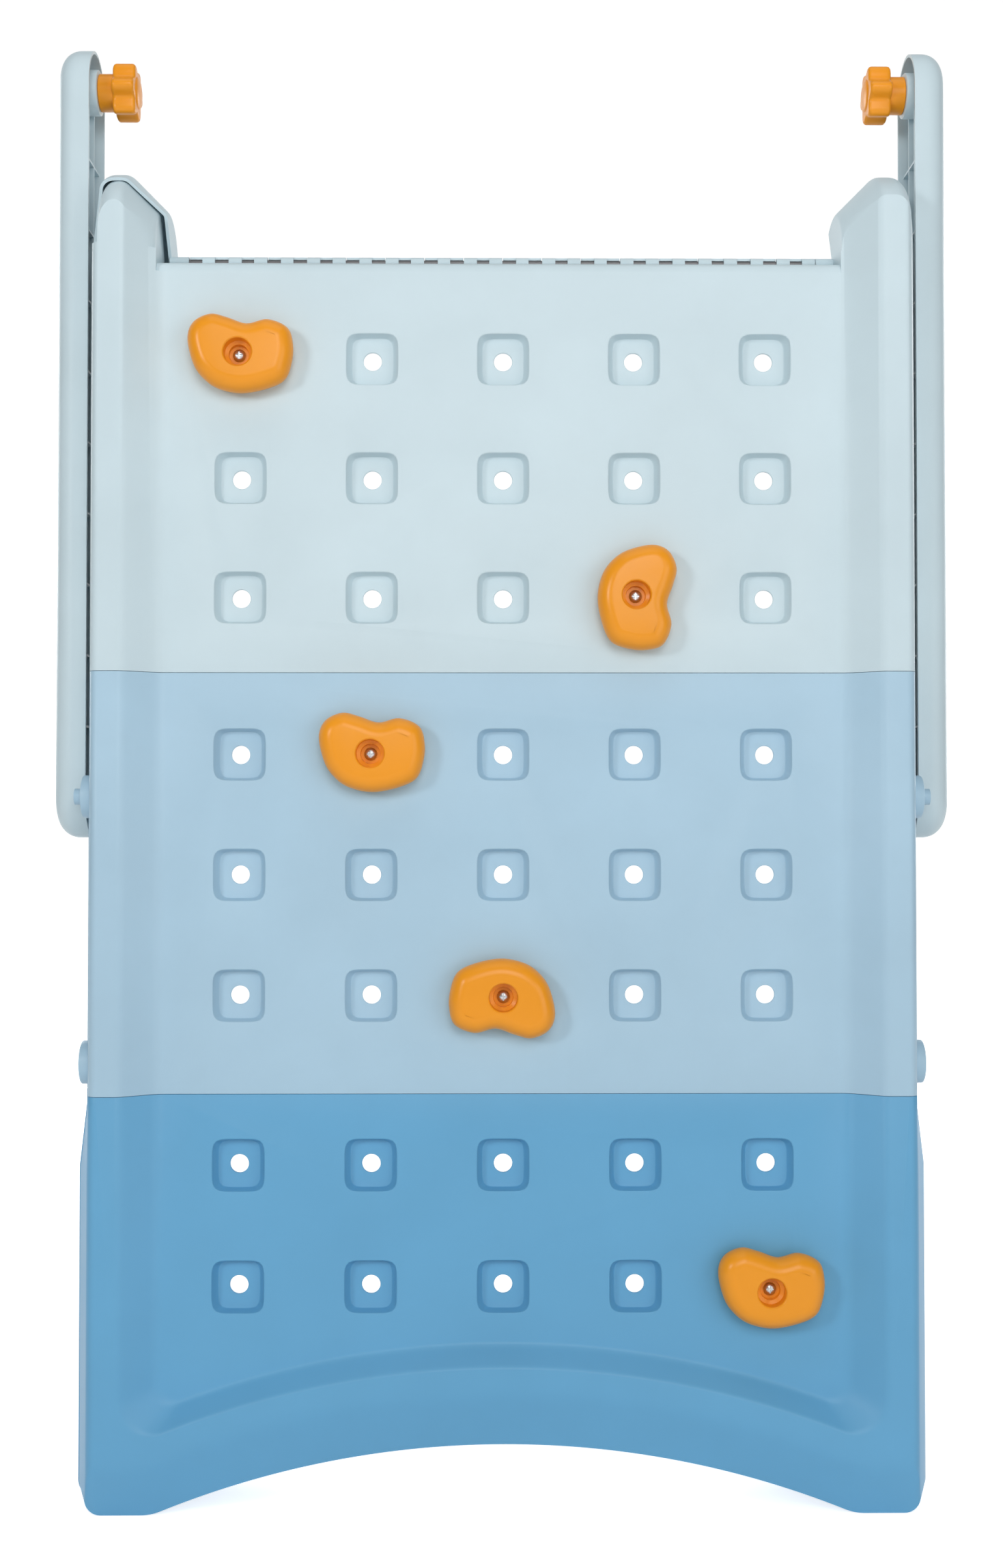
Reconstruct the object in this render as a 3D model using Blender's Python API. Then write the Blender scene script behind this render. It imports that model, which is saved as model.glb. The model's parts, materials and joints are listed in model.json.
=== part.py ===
"""Folding climbing wall for a child, folded flat and standing, with its two lock arms up.

Two equal walls hang on one steel rod along the top. Each is three open backed
mouldings screwed end to end. Arms on the rear wall's side bosses swing down to the
front wall's lower bosses, where their knobs lock the opened frame.
Metres, Z up, the floor at z = 0. The front wall faces -Y. The walls meet at y = 0.
"""

from math import acos, asin, atan, atan2, cos, degrees, hypot, pi, radians, sin

import bmesh
import bpy
from mathutils import Matrix, Vector

# Wall heights, from the floor up
BOTTOM_HEIGHT = 0.4692
MIDDLE_HEIGHT = 0.4785
TOP_HEIGHT = 0.4863
SEAM_GAP = 0.0006
SEAM_LOWER_Z = BOTTOM_HEIGHT
SEAM_UPPER_Z = SEAM_LOWER_Z + MIDDLE_HEIGHT
HINGE_Z = SEAM_UPPER_Z + TOP_HEIGHT

# Wall section: rim, slope and climbing face
WALL_DEPTH = 0.080
FACE_SET_BACK = 0.026
FACE_DEPTH = WALL_DEPTH - FACE_SET_BACK
SKIN = 0.0035
RIM_HALF = 0.465
RIM_ROUND = 0.009
RIM_WIDTH = 0.034
SLOPE_WIDTH = 0.040
SLOPE_OUTER = RIM_HALF - RIM_WIDTH
SLOPE_INNER = SLOPE_OUTER - SLOPE_WIDTH
LIP_GROWTH = 0.0165
LARGE_SIDE_EXTRA = 0.0010
LIP_Y = 0.0004
FLARE = 0.008
FLARE_DROP = 0.0172
FLARE_HEIGHT = 0.072
FLARE_HIGH_Z = SEAM_LOWER_Z - FLARE_DROP
FLARE_LOW_Z = FLARE_HIGH_Z - FLARE_HEIGHT

# Foot of the bottom moulding: arch, sloping skirt and the lower end of the face
ARCH_CROWN_Z = 0.078
FOOT_WIDTH = 0.058
FOOT_INNER = RIM_HALF - FOOT_WIDTH
FOOT_ROUND = 0.06085
FOOT_CORNER = 0.018
SKIRT_CORNER = 0.004
SKIRT_RISE = 0.059
SKIRT_CROWN_Z = ARCH_CROWN_Z + SKIRT_RISE
SKIRT_SIDE_Z = 0.056
SKIRT_MARGIN = 0.043
SKIRT_ROUND = 0.09979
SKIRT_SET_BACK = 0.016
POCKET_RISE = 0.031
POCKET_CROWN_Z = SKIRT_CROWN_Z + POCKET_RISE
POCKET_RADIUS = 1.043
POCKET_CORNER = 0.038
FACE_RISE = 0.019
FACE_CROWN_Z = POCKET_CROWN_Z + FACE_RISE
FACE_RADIUS = 1.070
FACE_CORNER = 0.022

# Grid of seats for the holds
COLUMNS = 5
COLUMN_MARGIN = 0.091
COLUMN_PITCH = 2 * (SLOPE_INNER - COLUMN_MARGIN) / (COLUMNS - 1)
ROW_PITCH = 0.137
TOP_ROW_DROP = 0.1265
MIDDLE_ROW_DROP = 0.0934
BOTTOM_ROW_DROP = 0.0805
TOP_ROW_Z = HINGE_Z - TOP_ROW_DROP
MIDDLE_ROW_Z = SEAM_UPPER_Z - MIDDLE_ROW_DROP
BOTTOM_ROW_Z = SEAM_LOWER_Z - BOTTOM_ROW_DROP
SEAT_HALF = 0.0293
SEAT_DEPTH = 0.013
SEAT_SIDE_TAPER = 0.0055
SEAT_END_TAPER = 0.0025
SEAT_FLOOR_DEPTH = FACE_DEPTH - SEAT_DEPTH
BOLT_HOLE_RADIUS = 0.0105

# Ears beside the hinge
EAR_RISE = 0.018
EAR_RADIUS = WALL_DEPTH + EAR_RISE
EAR_OVERLAP = 0.003
EAR_INNER_X = SLOPE_INNER - EAR_OVERLAP
EAR_FACE_RISE = 0.0015
EAR_INNER_RADIUS = FACE_DEPTH + EAR_FACE_RISE
EAR_SLOPE_WIDTH = 0.0435
EAR_CROWN_OUTER = 0.018
EAR_TOP_INNER_X = EAR_INNER_X + EAR_SLOPE_WIDTH
EAR_TOP_OUTER_X = RIM_HALF - EAR_CROWN_OUTER
EAR_ROUND = 0.016
EAR_ROOT_RADIUS = 0.004
EAR_WRAP = radians(32.5)
EAR_NEST = 0.0045
EAR_NEST_SIDE = 0.0055
SMALL_EAR_END = radians(80)
HOOD_LAP = 0.008
HOOD_FRONT = 0.004

# Hinge
KNUCKLES = 16
KNUCKLE_MARGIN = 0.0208
KNUCKLE_PITCH = 2 * (EAR_INNER_X - KNUCKLE_MARGIN) / KNUCKLES
KNUCKLE_GAP = 0.0008
KNUCKLE_MIDDLE = 0.0145
KNUCKLE_EDGE = 0.0015
KNUCKLE_SILL = 0.0022
ROD_RADIUS = 0.0032
ROD_CLEARANCE = 0.0005
ROD_END = 0.015
BARREL_WALL = 0.0033
BARREL_RADIUS = ROD_RADIUS + BARREL_WALL
LEDGE_DROP = 0.014
LEDGE_CLEARANCE = 0.0013
LEDGE_ROLL = 0.012
OPEN_ANGLE = radians(56.2)

# Knobs
KNOB_RADIUS = 0.0335
KNOB_LOBES = 6
KNOB_LOBE_DEPTH = 0.0084
KNOB_EDGE = 0.0025
KNOB_THICKNESS = 0.027
KNOB_DOME = 0.004
KNOB_SHANK_RADIUS = 0.0218
KNOB_STUD_RADIUS = 0.010
KNOB_STUD = 0.026
KNOB_CLEARANCE = 0.001

# Side bosses
BOSS_UPPER_DROP = 0.1412
BOSS_LOWER_RISE = 0.0343
BOSS_UPPER_Z = SEAM_UPPER_Z - BOSS_UPPER_DROP
BOSS_LOWER_Z = SEAM_LOWER_Z + BOSS_LOWER_RISE
BOSS_SET_BACK = 0.037
BOSS_WALL = 0.0022
RUNNING_GAP = 0.0005
BOSS_RADIUS = KNOB_SHANK_RADIUS + RUNNING_GAP + BOSS_WALL
BOSS_PROUD = 0.015
BOSS_OUTER_X = RIM_HALF + BOSS_PROUD
BOSS_LENGTH = 0.0172
PIVOT = Vector((0.0, BOSS_SET_BACK, BOSS_UPPER_Z))

# Arms
ARM_HALF_DEPTH = 0.047
ARM_GAP = 0.0045
ARM_WIDTH = 0.0385
ARM_INNER_X = BOSS_OUTER_X + ARM_GAP
ARM_OUTER_X = ARM_INNER_X + ARM_WIDTH
ARM_ROUND = 0.024
ARM_BOSS_RADIUS = 0.0262
ARM_RIBS = 9
ARM_RIB_THICKNESS = 0.0024
ARM_RIB_SPREAD = 0.0145
ARM_RIB_SET_BACK = 0.006
ARM_RIB_CORNER = 0.018
ARM_RIB_START = 0.010

# Pivot pins
PIN_RADIUS = 0.008
PIN_HEAD_RADIUS = 0.015
PIN_HEAD = 0.006
PIN_END_GAP = 0.004

# Holds and their bolts
HOLD_PROUD = 0.034
HOLD_OUTLINE = (
    (0.0612, 0.0120), (0.0549, 0.0313), (0.0325, 0.0406), (0.0090, 0.0357), (-0.0125, 0.0425),
    (-0.0321, 0.0467), (-0.0515, 0.0375), (-0.0585, 0.0186), (-0.0516, -0.0108), (-0.0389, -0.0283),
    (-0.0223, -0.0386), (0.0030, -0.0432), (0.0325, -0.0376), (0.0520, -0.0274), (0.0598, -0.0080),
)
HOLD_LEVELS = ((0.0, 0.0040), (0.34, 0.0004), (0.62, 0.0012), (0.84, 0.0058), (0.96, 0.0125), (1.0, 0.0200))
HOLD_BORE_RADIUS = 0.016
HOLD_BORE_DEPTH = 0.022
PLUG_CLEARANCE = 0.0006
PLUG_SHORT = 0.003
HOLD_PLUG = SEAT_DEPTH - PLUG_SHORT
BOLT_RADIUS = 0.004
BOLT_HEAD_RADIUS = 0.0073
BOLT_HEAD = 0.005
BOLT_END = 0.003
NUT_LAP = 0.006
NUT_RADIUS = BOLT_HOLE_RADIUS + NUT_LAP
NUT_FLANGE = 0.003
NUT_HEX_RADIUS = 0.0075
NUT_HEX = 0.0065

# Screws that join the mouldings
SEAM_SCREW_MARGIN = 0.061
SEAM_SCREWS_X = (-SLOPE_INNER + SEAM_SCREW_MARGIN, SLOPE_INNER - SEAM_SCREW_MARGIN)
SEAM_SCREW_Y = -0.021
SEAM_SCREW_RADIUS = 0.003
SEAM_SCREW_HEAD_RADIUS = 0.006
SEAM_SCREW_HEAD = 0.0045
SEAM_SCREW_END = 0.002
SEAM_PAD_WALL = 0.006
SEAM_PAD_RADIUS = SEAM_SCREW_RADIUS + SEAM_PAD_WALL
SEAM_PAD = 0.010

# Ribs behind the climbing face
RIB_THICKNESS = 0.0026
RIB_DEPTH = 0.020

# The rear wall is an open frame
WINDOW_MARGIN = 0.019
WINDOW_HALF = SLOPE_INNER - WINDOW_MARGIN
WINDOW_TOP_DROP = 0.082
WINDOW_TOP_Z = HINGE_Z - WINDOW_TOP_DROP
WINDOW_RISE = 0.025
WINDOW_BOTTOM_Z = FACE_CROWN_Z + WINDOW_RISE
RAIL_HALF = 0.045

TOUCH_GAP = 0.0003
ROUND_STEPS = 3
ARCH_STEPS = 6
BEYOND = 0.020
BESIDE_X = RIM_HALF + LIP_GROWTH + LARGE_SIDE_EXTRA + BEYOND
ABOVE_Z = HINGE_Z + EAR_RADIUS + BEYOND

COLOURS = {
    "pale_blue": ((0.60, 0.73, 0.77), 0.42, 0.0),
    "middle_blue": ((0.40, 0.58, 0.70), 0.42, 0.0),
    "deep_blue": ((0.14, 0.38, 0.60), 0.42, 0.0),
    "orange": ((0.87, 0.33, 0.01), 0.32, 0.0),
    "steel": ((0.55, 0.56, 0.58), 0.30, 1.0),
}


def clear_scene():
    for item in list(bpy.data.objects):
        bpy.data.objects.remove(item, do_unlink=True)
    for group in list(bpy.data.collections):
        bpy.data.collections.remove(group)


def new_collection(name):
    group = bpy.data.collections.new(name)
    bpy.context.scene.collection.children.link(group)
    return group


def finish_of(name):
    found = bpy.data.materials.get(name)
    if found:
        return found
    colour, roughness, metallic = COLOURS[name]
    finish = bpy.data.materials.new(name)
    finish.use_nodes = True
    shader = finish.node_tree.nodes["Principled BSDF"]
    shader.inputs["Base Color"].default_value = (*colour, 1.0)
    shader.inputs["Roughness"].default_value = roughness
    shader.inputs["Metallic"].default_value = metallic
    return finish


def from_bmesh(name, mesh_tool):
    bmesh.ops.recalc_face_normals(mesh_tool, faces=mesh_tool.faces)
    mesh = bpy.data.meshes.new(name)
    mesh_tool.to_mesh(mesh)
    mesh_tool.free()
    solid = bpy.data.objects.new(name, mesh)
    TOOLS.objects.link(solid)
    solid.hide_render = True
    solid.display_type = "WIRE"
    return solid


def loft(name, loops):
    """One closed solid through rings with equal counts of points, its two ends capped."""
    mesh_tool = bmesh.new()
    rings = [[mesh_tool.verts.new(point) for point in loop] for loop in loops]
    for low, high in zip(rings, rings[1:]):
        for i in range(len(low)):
            j = (i + 1) % len(low)
            mesh_tool.faces.new((low[i], low[j], high[j], high[i]))
    mesh_tool.faces.new(rings[0][::-1])
    mesh_tool.faces.new(rings[-1])
    return from_bmesh(name, mesh_tool)


def along_x(name, outline, x0, x1):
    """A (y, z) outline run along X."""
    return loft(name, [[(x, y, z) for y, z in outline] for x in (x0, x1)])


def box(name, low, high):
    outline = [(low[1], low[2]), (high[1], low[2]), (high[1], high[2]), (low[1], high[2])]
    return along_x(name, outline, low[0], high[0])


def lathe(name, profile, axis, centre, steps):
    """A stack of round sections, given as (place along the axis, radius)."""
    turns = {
        "X": Matrix.Rotation(pi / 2, 3, "Y"),
        "Y": Matrix.Rotation(-pi / 2, 3, "X"),
        "Z": Matrix.Identity(3),
    }
    turn = turns[axis]
    loops = []
    for place, radius in profile:
        ring = []
        for i in range(steps):
            angle = 2 * pi * (i + 0.5) / steps
            point = Vector((radius * cos(angle), radius * sin(angle), place))
            ring.append(Vector(centre) + turn @ point)
        loops.append(ring)
    return loft(name, loops)


def rod_of(name, axis, centre, radius, low, high, steps=12):
    return lathe(name, [(low, radius), (high, radius)], axis, centre, steps)


def combine(solid, other, operation):
    step = solid.modifiers.new(operation.lower(), "BOOLEAN")
    step.operation = operation
    step.object = other
    step.solver = "EXACT"
    return solid


def cut(solid, *others):
    for other in others:
        combine(solid, other, "DIFFERENCE")
    return solid


def join(solid, *others):
    for other in others:
        combine(solid, other, "UNION")
    return solid


def grouped(name, solids):
    """Separate solids held in one mesh, to be used as one tool."""
    mesh_tool = bmesh.new()
    for solid in solids:
        mesh_tool.from_mesh(settled_mesh(solid))
    group = from_bmesh(name, mesh_tool)
    return group


def settled_mesh(solid):
    bpy.context.view_layer.update()
    graph = bpy.context.evaluated_depsgraph_get()
    mesh = bpy.data.meshes.new_from_object(solid.evaluated_get(graph))
    mesh.name = solid.name
    return mesh


def place(name, mesh, finish, parent=None, location=(0, 0, 0), turn=0.0):
    """A finished sub-part of the object."""
    piece = bpy.data.objects.new(name, mesh)
    PARTS.objects.link(piece)
    if not mesh.materials:
        mesh.materials.append(finish_of(finish))
    mesh.shade_smooth()
    mesh.set_sharp_from_angle(angle=radians(32))
    piece.location = location
    piece.rotation_euler.z = turn
    piece.parent = parent
    return piece


def guide(name, location, turn=0.0):
    empty = bpy.data.objects.new(name, None)
    PARTS.objects.link(empty)
    empty.location = location
    empty.rotation_euler.z = turn
    return empty


def arc(centre, radius, start, end, steps):
    """Points of a round stretch, both ends included."""
    points = []
    for i in range(steps + 1):
        angle = start + (end - start) * i / steps
        points.append((centre[0] + radius * cos(angle), centre[1] + radius * sin(angle)))
    return points


def arch_half(crown, foot_z, foot_x, foot_radius):
    """Half an arch from its crown out to a flat foot: one long arc and a tangent arc turned the other way."""
    rise = crown - foot_z
    reach = 2 * atan(rise / foot_x)
    radius = foot_x / sin(reach) - foot_radius
    long_arc = arc((0, crown - radius), radius, pi / 2, pi / 2 - reach, ARCH_STEPS)
    short_arc = arc((foot_x, foot_z + foot_radius), foot_radius, -pi / 2 - reach, -pi / 2, ROUND_STEPS)
    return long_arc + short_arc[1:]


def pocket_half(crown, radius, side_x, corner):
    """Half the lower end of the face: an arc that turns up into the straight side through a round corner."""
    middle_x = side_x - corner
    middle_z = crown - radius + (((radius + corner) ** 2 - middle_x**2) ** 0.5)
    reach = atan2(middle_z - (crown - radius), middle_x)
    long_arc = arc((0, crown - radius), radius, pi / 2, reach, ARCH_STEPS)
    round_corner = arc((middle_x, middle_z), corner, reach - pi, 0, ROUND_STEPS + 1)
    return long_arc + round_corner[1:]


def mirrored(half):
    """A closed outline from its right half, which runs from the middle out."""
    left = [(-x, z) for x, z in half[1:]]
    return left[::-1] + half


def side_x(depth, large, inset=0.0):
    """Outer face of a side wall at a depth in front of the middle plane."""
    lip = RIM_HALF + LIP_GROWTH + (LARGE_SIDE_EXTRA if large else 0.0)
    return lip + (RIM_HALF - lip) * depth / WALL_DEPTH - inset


def rim_levels(inset):
    """Depth, sideways inset and share of the skirt's slope, from the lip to the rim's front."""
    back = -BEYOND if inset else LIP_Y
    front = WALL_DEPTH - inset
    radius = RIM_ROUND
    levels = [(back, 0.0, 0.0), (WALL_DEPTH - SKIRT_SET_BACK, 0.0, 0.0)]
    for i in range(ROUND_STEPS + 1):
        angle = pi / 2 * i / ROUND_STEPS
        depth = front - radius * (1 - sin(angle))
        share = (depth - (WALL_DEPTH - SKIRT_SET_BACK)) / SKIRT_SET_BACK
        levels.append((depth, radius * (1 - cos(angle)), max(share, 0.0)))
    return levels


def wall_block(name, low, high, inset=0.0):
    """Outer body of a moulding without its face pocket; with an inset, the room inside its skin."""
    loops = []
    for depth, rounding, _ in rim_levels(inset):
        right = side_x(depth, True, inset + rounding)
        left = -side_x(depth, False, inset + rounding)
        loops.append([(left, -depth, low), (right, -depth, low), (right, -depth, high), (left, -depth, high)])
    return loft(name, loops)


def foot_block(name, high, inset=0.0):
    """Body of the bottom moulding: flared sides, arched lower edge and the skirt that slopes back to it."""
    edge = arch_half(ARCH_CROWN_Z + inset, inset, FOOT_INNER, FOOT_ROUND)
    skirt = arch_half(SKIRT_CROWN_Z, SKIRT_SIDE_Z, RIM_HALF - SKIRT_MARGIN, SKIRT_ROUND)
    loops = []
    for depth, rounding, share in rim_levels(inset):
        halves = []
        for large in (False, True):
            half = []
            for (x0, z0), (x1, z1) in zip(edge, skirt):
                half.append((x0 + (x1 - x0) * share, z0 + (z1 - z0) * share))
            foot_z = half[-1][1]
            out = side_x(depth, large, inset + rounding)
            flare = FLARE * (1 - max(depth, 0) / WALL_DEPTH)
            corner = FOOT_CORNER * (1 - share) + SKIRT_CORNER * share
            half += arc((out + flare - corner, foot_z + corner), corner, -pi / 2, 0, ROUND_STEPS)
            half += [(out + flare, FLARE_LOW_Z), (out, FLARE_HIGH_Z), (out, high)]
            halves.append(half)
        left = [(-x, z) for x, z in halves[0][1:]]
        loops.append([(x, -depth, z) for x, z in left[::-1] + halves[1]])
    return loft(name, loops)


def pocket(name, inset=0.0):
    """The set-back climbing face with its sloping border, for all three mouldings; inset makes it larger."""
    top = ABOVE_Z + BEYOND
    outer = pocket_half(POCKET_CROWN_Z - inset, POCKET_RADIUS, SLOPE_OUTER + inset, POCKET_CORNER + inset)
    inner = pocket_half(FACE_CROWN_Z - inset, FACE_RADIUS, SLOPE_INNER + inset, FACE_CORNER + inset)
    outer.append((SLOPE_OUTER + inset, top))
    inner.append((SLOPE_INNER + inset, top))
    steep = (SLOPE_OUTER - SLOPE_INNER) / FACE_SET_BACK
    ahead = [(x * (1 + steep * BEYOND / SLOPE_OUTER), z) for x, z in outer]
    rings = [(mirrored(inner), -FACE_DEPTH + inset), (mirrored(outer), -WALL_DEPTH)]
    if not inset:
        rings.append((mirrored(ahead), -WALL_DEPTH - BEYOND))
    return loft(name, [[(x, y, z) for x, z in ring] for ring, y in rings])


def seat_ring(y, z, x, half_x, half_z):
    """Eight points of a square with rounded corners and full sides."""
    ring = []
    for quarter in range(4):
        for share in (-0.78, 0.78):
            along, out = share, 1.0
            u, v = ((out, along), (-along, out), (-out, -along), (along, -out))[quarter]
            ring.append((x + u * half_x, y, z + v * half_z))
    return ring


def seat_tools(rows):
    """Cups behind the face, and the square seats with their bolt holes that are cut out of them."""
    cups, hollows = [], []
    columns = [COLUMN_PITCH * (i - (COLUMNS - 1) / 2) for i in range(COLUMNS)]
    floor_x, floor_z = SEAT_HALF - SEAT_SIDE_TAPER, SEAT_HALF - SEAT_END_TAPER
    ends = ((-FACE_DEPTH + SKIN / 2, SEAT_HALF, SEAT_HALF), (-SEAT_FLOOR_DEPTH + SKIN, floor_x, floor_z))
    back = [(-1, -1), (1, -1), (1, 1), (-1, 1)]
    for z in rows:
        for x in columns:
            cups.append(loft("cup", [
                [(x + u * (half_x + SKIN), y, z + w * (half_z + SKIN)) for u, w in back]
                for y, half_x, half_z in ends
            ]))
            hollows.append(loft("seat", [
                seat_ring(-FACE_DEPTH - BEYOND, z, x, SEAT_HALF, SEAT_HALF),
                seat_ring(-FACE_DEPTH, z, x, SEAT_HALF, SEAT_HALF),
                seat_ring(-SEAT_FLOOR_DEPTH, z, x, floor_x, floor_z),
            ]))
    holes = [
        rod_of("hole", "Y", (x, 0, z), BOLT_HOLE_RADIUS, -FACE_DEPTH, 0, 8)
        for z in rows for x in columns
    ]
    return grouped("cups", cups), grouped("seats", hollows), grouped("holes", holes)


def face_ribs(heights):
    """Shallow ribs across the back of the face, between the rows of seats."""
    front, back = -FACE_DEPTH + SKIN / 2, -FACE_DEPTH + SKIN + RIB_DEPTH
    half = RIB_THICKNESS / 2
    return [box("rib", (-SLOPE_INNER, front, z - half), (SLOPE_INNER, back, z + half)) for z in heights]


def boss_tools(z, hole_radius):
    """Side bosses of one height with their cross holes."""
    bosses, holes = [], []
    for side in (-1, 1):
        ends = sorted((side * BOSS_OUTER_X, side * (BOSS_OUTER_X - BOSS_LENGTH)))
        bosses.append(rod_of("boss", "X", (0, -BOSS_SET_BACK, z), BOSS_RADIUS, *ends, 20))
        ends = sorted((side * (BOSS_OUTER_X + BEYOND), side * (BOSS_OUTER_X - 2 * BOSS_LENGTH)))
        holes.append(rod_of("boss_hole", "X", (0, -BOSS_SET_BACK, z), hole_radius, *ends, 20))
    return bosses, holes


def seam_pads(z, above):
    """Round pads on the end walls, which take the seam screws."""
    pads = []
    for x in SEAM_SCREWS_X:
        ends = (z + SKIN / 2, z + SEAM_PAD) if above else (z - SEAM_PAD, z - SKIN / 2)
        pads.append(rod_of("pad", "Z", (x, SEAM_SCREW_Y, 0), SEAM_PAD_RADIUS, *ends, 10))
    return pads


def seam_holes(z):
    radius = SEAM_SCREW_RADIUS + TOUCH_GAP
    ends = (z - BEYOND, z + BEYOND)
    return [rod_of("screw_hole", "Z", (x, SEAM_SCREW_Y, 0), radius, *ends, 8) for x in SEAM_SCREWS_X]


def window(low, high):
    """Opening through the rear wall's face."""
    return box("window", (-WINDOW_HALF, -WALL_DEPTH, low), (WINDOW_HALF, 0.0, high))


def knob_reliefs(low):
    """Notches in the end wall above the lower seam, where the knobs sit once the arms are locked."""
    reliefs = []
    front = -BOSS_SET_BACK - KNOB_RADIUS - KNOB_CLEARANCE
    high = low + SKIN + KNOB_CLEARANCE
    for side in (-1, 1):
        near = SLOPE_OUTER - RUNNING_GAP
        x0, x1 = sorted((side * near, side * (BOSS_OUTER_X - BOSS_LENGTH - RUNNING_GAP)))
        reliefs.append(box("relief", (x0, front, low - BEYOND), (x1, BEYOND, high)))
    return reliefs


def finish_face(body, rows, added, holes, openings):
    """Either the seats and back ribs of the climbing face, or the rear wall's openings."""
    if openings:
        join(body, grouped("added", added))
        return cut(body, grouped("openings", openings), grouped("cross_holes", holes))
    cups, seats, bolt_holes = seat_tools(rows)
    heights = [(high + low) / 2 for high, low in zip(rows, rows[1:])]
    join(body, cups, grouped("added", added + face_ribs(heights)))
    return cut(body, seats, bolt_holes, grouped("cross_holes", holes))


def make_middle(open_frame):
    low, high = SEAM_LOWER_Z + SEAM_GAP / 2, SEAM_UPPER_Z - SEAM_GAP / 2
    body = wall_block("middle_body", low, high)
    room = cut(wall_block("middle_room", low + SKIN, high - SKIN, SKIN), pocket("middle_face_back", SKIN))
    rows = [MIDDLE_ROW_Z - i * ROW_PITCH for i in range(3)]
    bosses, boss_holes = [], []
    pin_hole = (BOSS_UPPER_Z, PIN_RADIUS + TOUCH_GAP)
    knob_hole = (BOSS_LOWER_Z, KNOB_SHANK_RADIUS + RUNNING_GAP)
    for z, radius in (pin_hole, knob_hole):
        found = boss_tools(z, radius)
        bosses += found[0]
        boss_holes += found[1]
    added = bosses + seam_pads(low, True) + seam_pads(high, False)
    holes = boss_holes + seam_holes(SEAM_LOWER_Z) + seam_holes(SEAM_UPPER_Z) + knob_reliefs(low)
    cut(body, pocket("middle_pocket"), room)
    openings = [window(SEAM_LOWER_Z + RAIL_HALF, SEAM_UPPER_Z - RAIL_HALF)] if open_frame else []
    return settled_mesh(finish_face(body, rows, added, holes, openings))


def make_bottom(open_frame):
    high = SEAM_LOWER_Z - SEAM_GAP / 2
    body = foot_block("bottom_body", high)
    room = cut(foot_block("bottom_room", high - SKIN, SKIN), pocket("bottom_face_back", SKIN))
    rows = [BOTTOM_ROW_Z, BOTTOM_ROW_Z - ROW_PITCH]
    cut(body, pocket("bottom_pocket"), room)
    openings = [window(WINDOW_BOTTOM_Z, SEAM_LOWER_Z - RAIL_HALF)] if open_frame else []
    return settled_mesh(finish_face(body, rows, seam_pads(high, False), seam_holes(SEAM_LOWER_Z), openings))


def ear_profile(large, inset):
    """Places along X and radii of an ear's round body, turned about the hinge."""
    nest = 0.0 if large else EAR_NEST
    side = 0.0 if large else EAR_NEST_SIDE
    inner = EAR_INNER_X + (0.0 if large else 2 * EAR_NEST)
    radius = EAR_RADIUS - nest - inset
    start = EAR_TOP_OUTER_X - side
    end = side_x(radius - EAR_ROUND, large, side + inset)
    profile = [(inner + inset, EAR_INNER_RADIUS - inset * 0.4), (EAR_TOP_INNER_X, radius), (start, radius)]
    for i in range(1, ROUND_STEPS + 1):
        angle = pi / 2 * i / ROUND_STEPS
        profile.append((start + (end - start) * sin(angle), radius - EAR_ROUND * (1 - cos(angle))))
    profile.append((side_x(EAR_ROOT_RADIUS, large, side + inset), EAR_ROOT_RADIUS))
    return profile


def ear_body(name, large, inset=0.0):
    sign = 1 if large else -1
    profile = [(sign * x, r) for x, r in ear_profile(large, inset)]
    return lathe(name, profile, "X", (0, 0, HINGE_Z), 24)


def above_hinge(name, large, drop):
    """The room around one ear above the hinge, from which the ear's round body is spared."""
    sign = 1 if large else -1
    x0, x1 = sorted((sign * (EAR_INNER_X - 1.5 * HOOD_LAP), sign * (BESIDE_X + BEYOND)))
    high = (x1, EAR_RADIUS + 2 * BEYOND, ABOVE_Z + BEYOND)
    return box(name, (x0, -WALL_DEPTH - BEYOND, HINGE_Z - drop), high)


def wrap_wedge(name, start, end, low_x, high_x):
    """A slice between two planes through the hinge, its angles counted from the wall's front upwards."""
    reach = 2 * (EAR_RADIUS + BEYOND)
    points = [(0.0, HINGE_Z)]
    steps = 2
    for i in range(steps + 1):
        angle = start + (end - start) * i / steps
        points.append((-reach * cos(angle), HINGE_Z + reach * sin(angle)))
    return along_x(name, points, low_x, high_x)


def ledge_outline(inset):
    """Side view of the room above the ledge that rolls back from the face's top edge to the hinge."""
    front = -FACE_DEPTH + inset
    top = HINGE_Z - LEDGE_DROP - inset
    low = top - LEDGE_ROLL
    lip = BARREL_RADIUS + LEDGE_CLEARANCE + inset
    crest = HINGE_Z - BARREL_RADIUS * 0.5 - inset
    foot = HINGE_Z - BARREL_RADIUS - 0.002 - inset
    high = ABOVE_Z + BEYOND
    return [
        (-WALL_DEPTH - BEYOND, low), (front, low), (front + 0.003, top - 0.0045),
        (front + 0.010, top), (-lip - 0.005, crest - 0.001), (-lip, crest - 0.002), (-lip, foot),
        (BEYOND, foot), (BEYOND, high), (-WALL_DEPTH - BEYOND, high),
    ]


def knuckle_outline():
    """Side view of a knuckle: a barrel round the rod with a foot down to the ledge."""
    lip = BARREL_RADIUS + LEDGE_CLEARANCE
    low = HINGE_Z - BARREL_RADIUS - 0.0040
    barrel = [(y, HINGE_Z + z) for y, z in arc((0, 0), BARREL_RADIUS, radians(-100), radians(205), 12)]
    return barrel + [(-lip - 0.002, HINGE_Z - BARREL_RADIUS - 0.0005), (-lip - 0.002, low), (-0.0012, low)]


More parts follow.
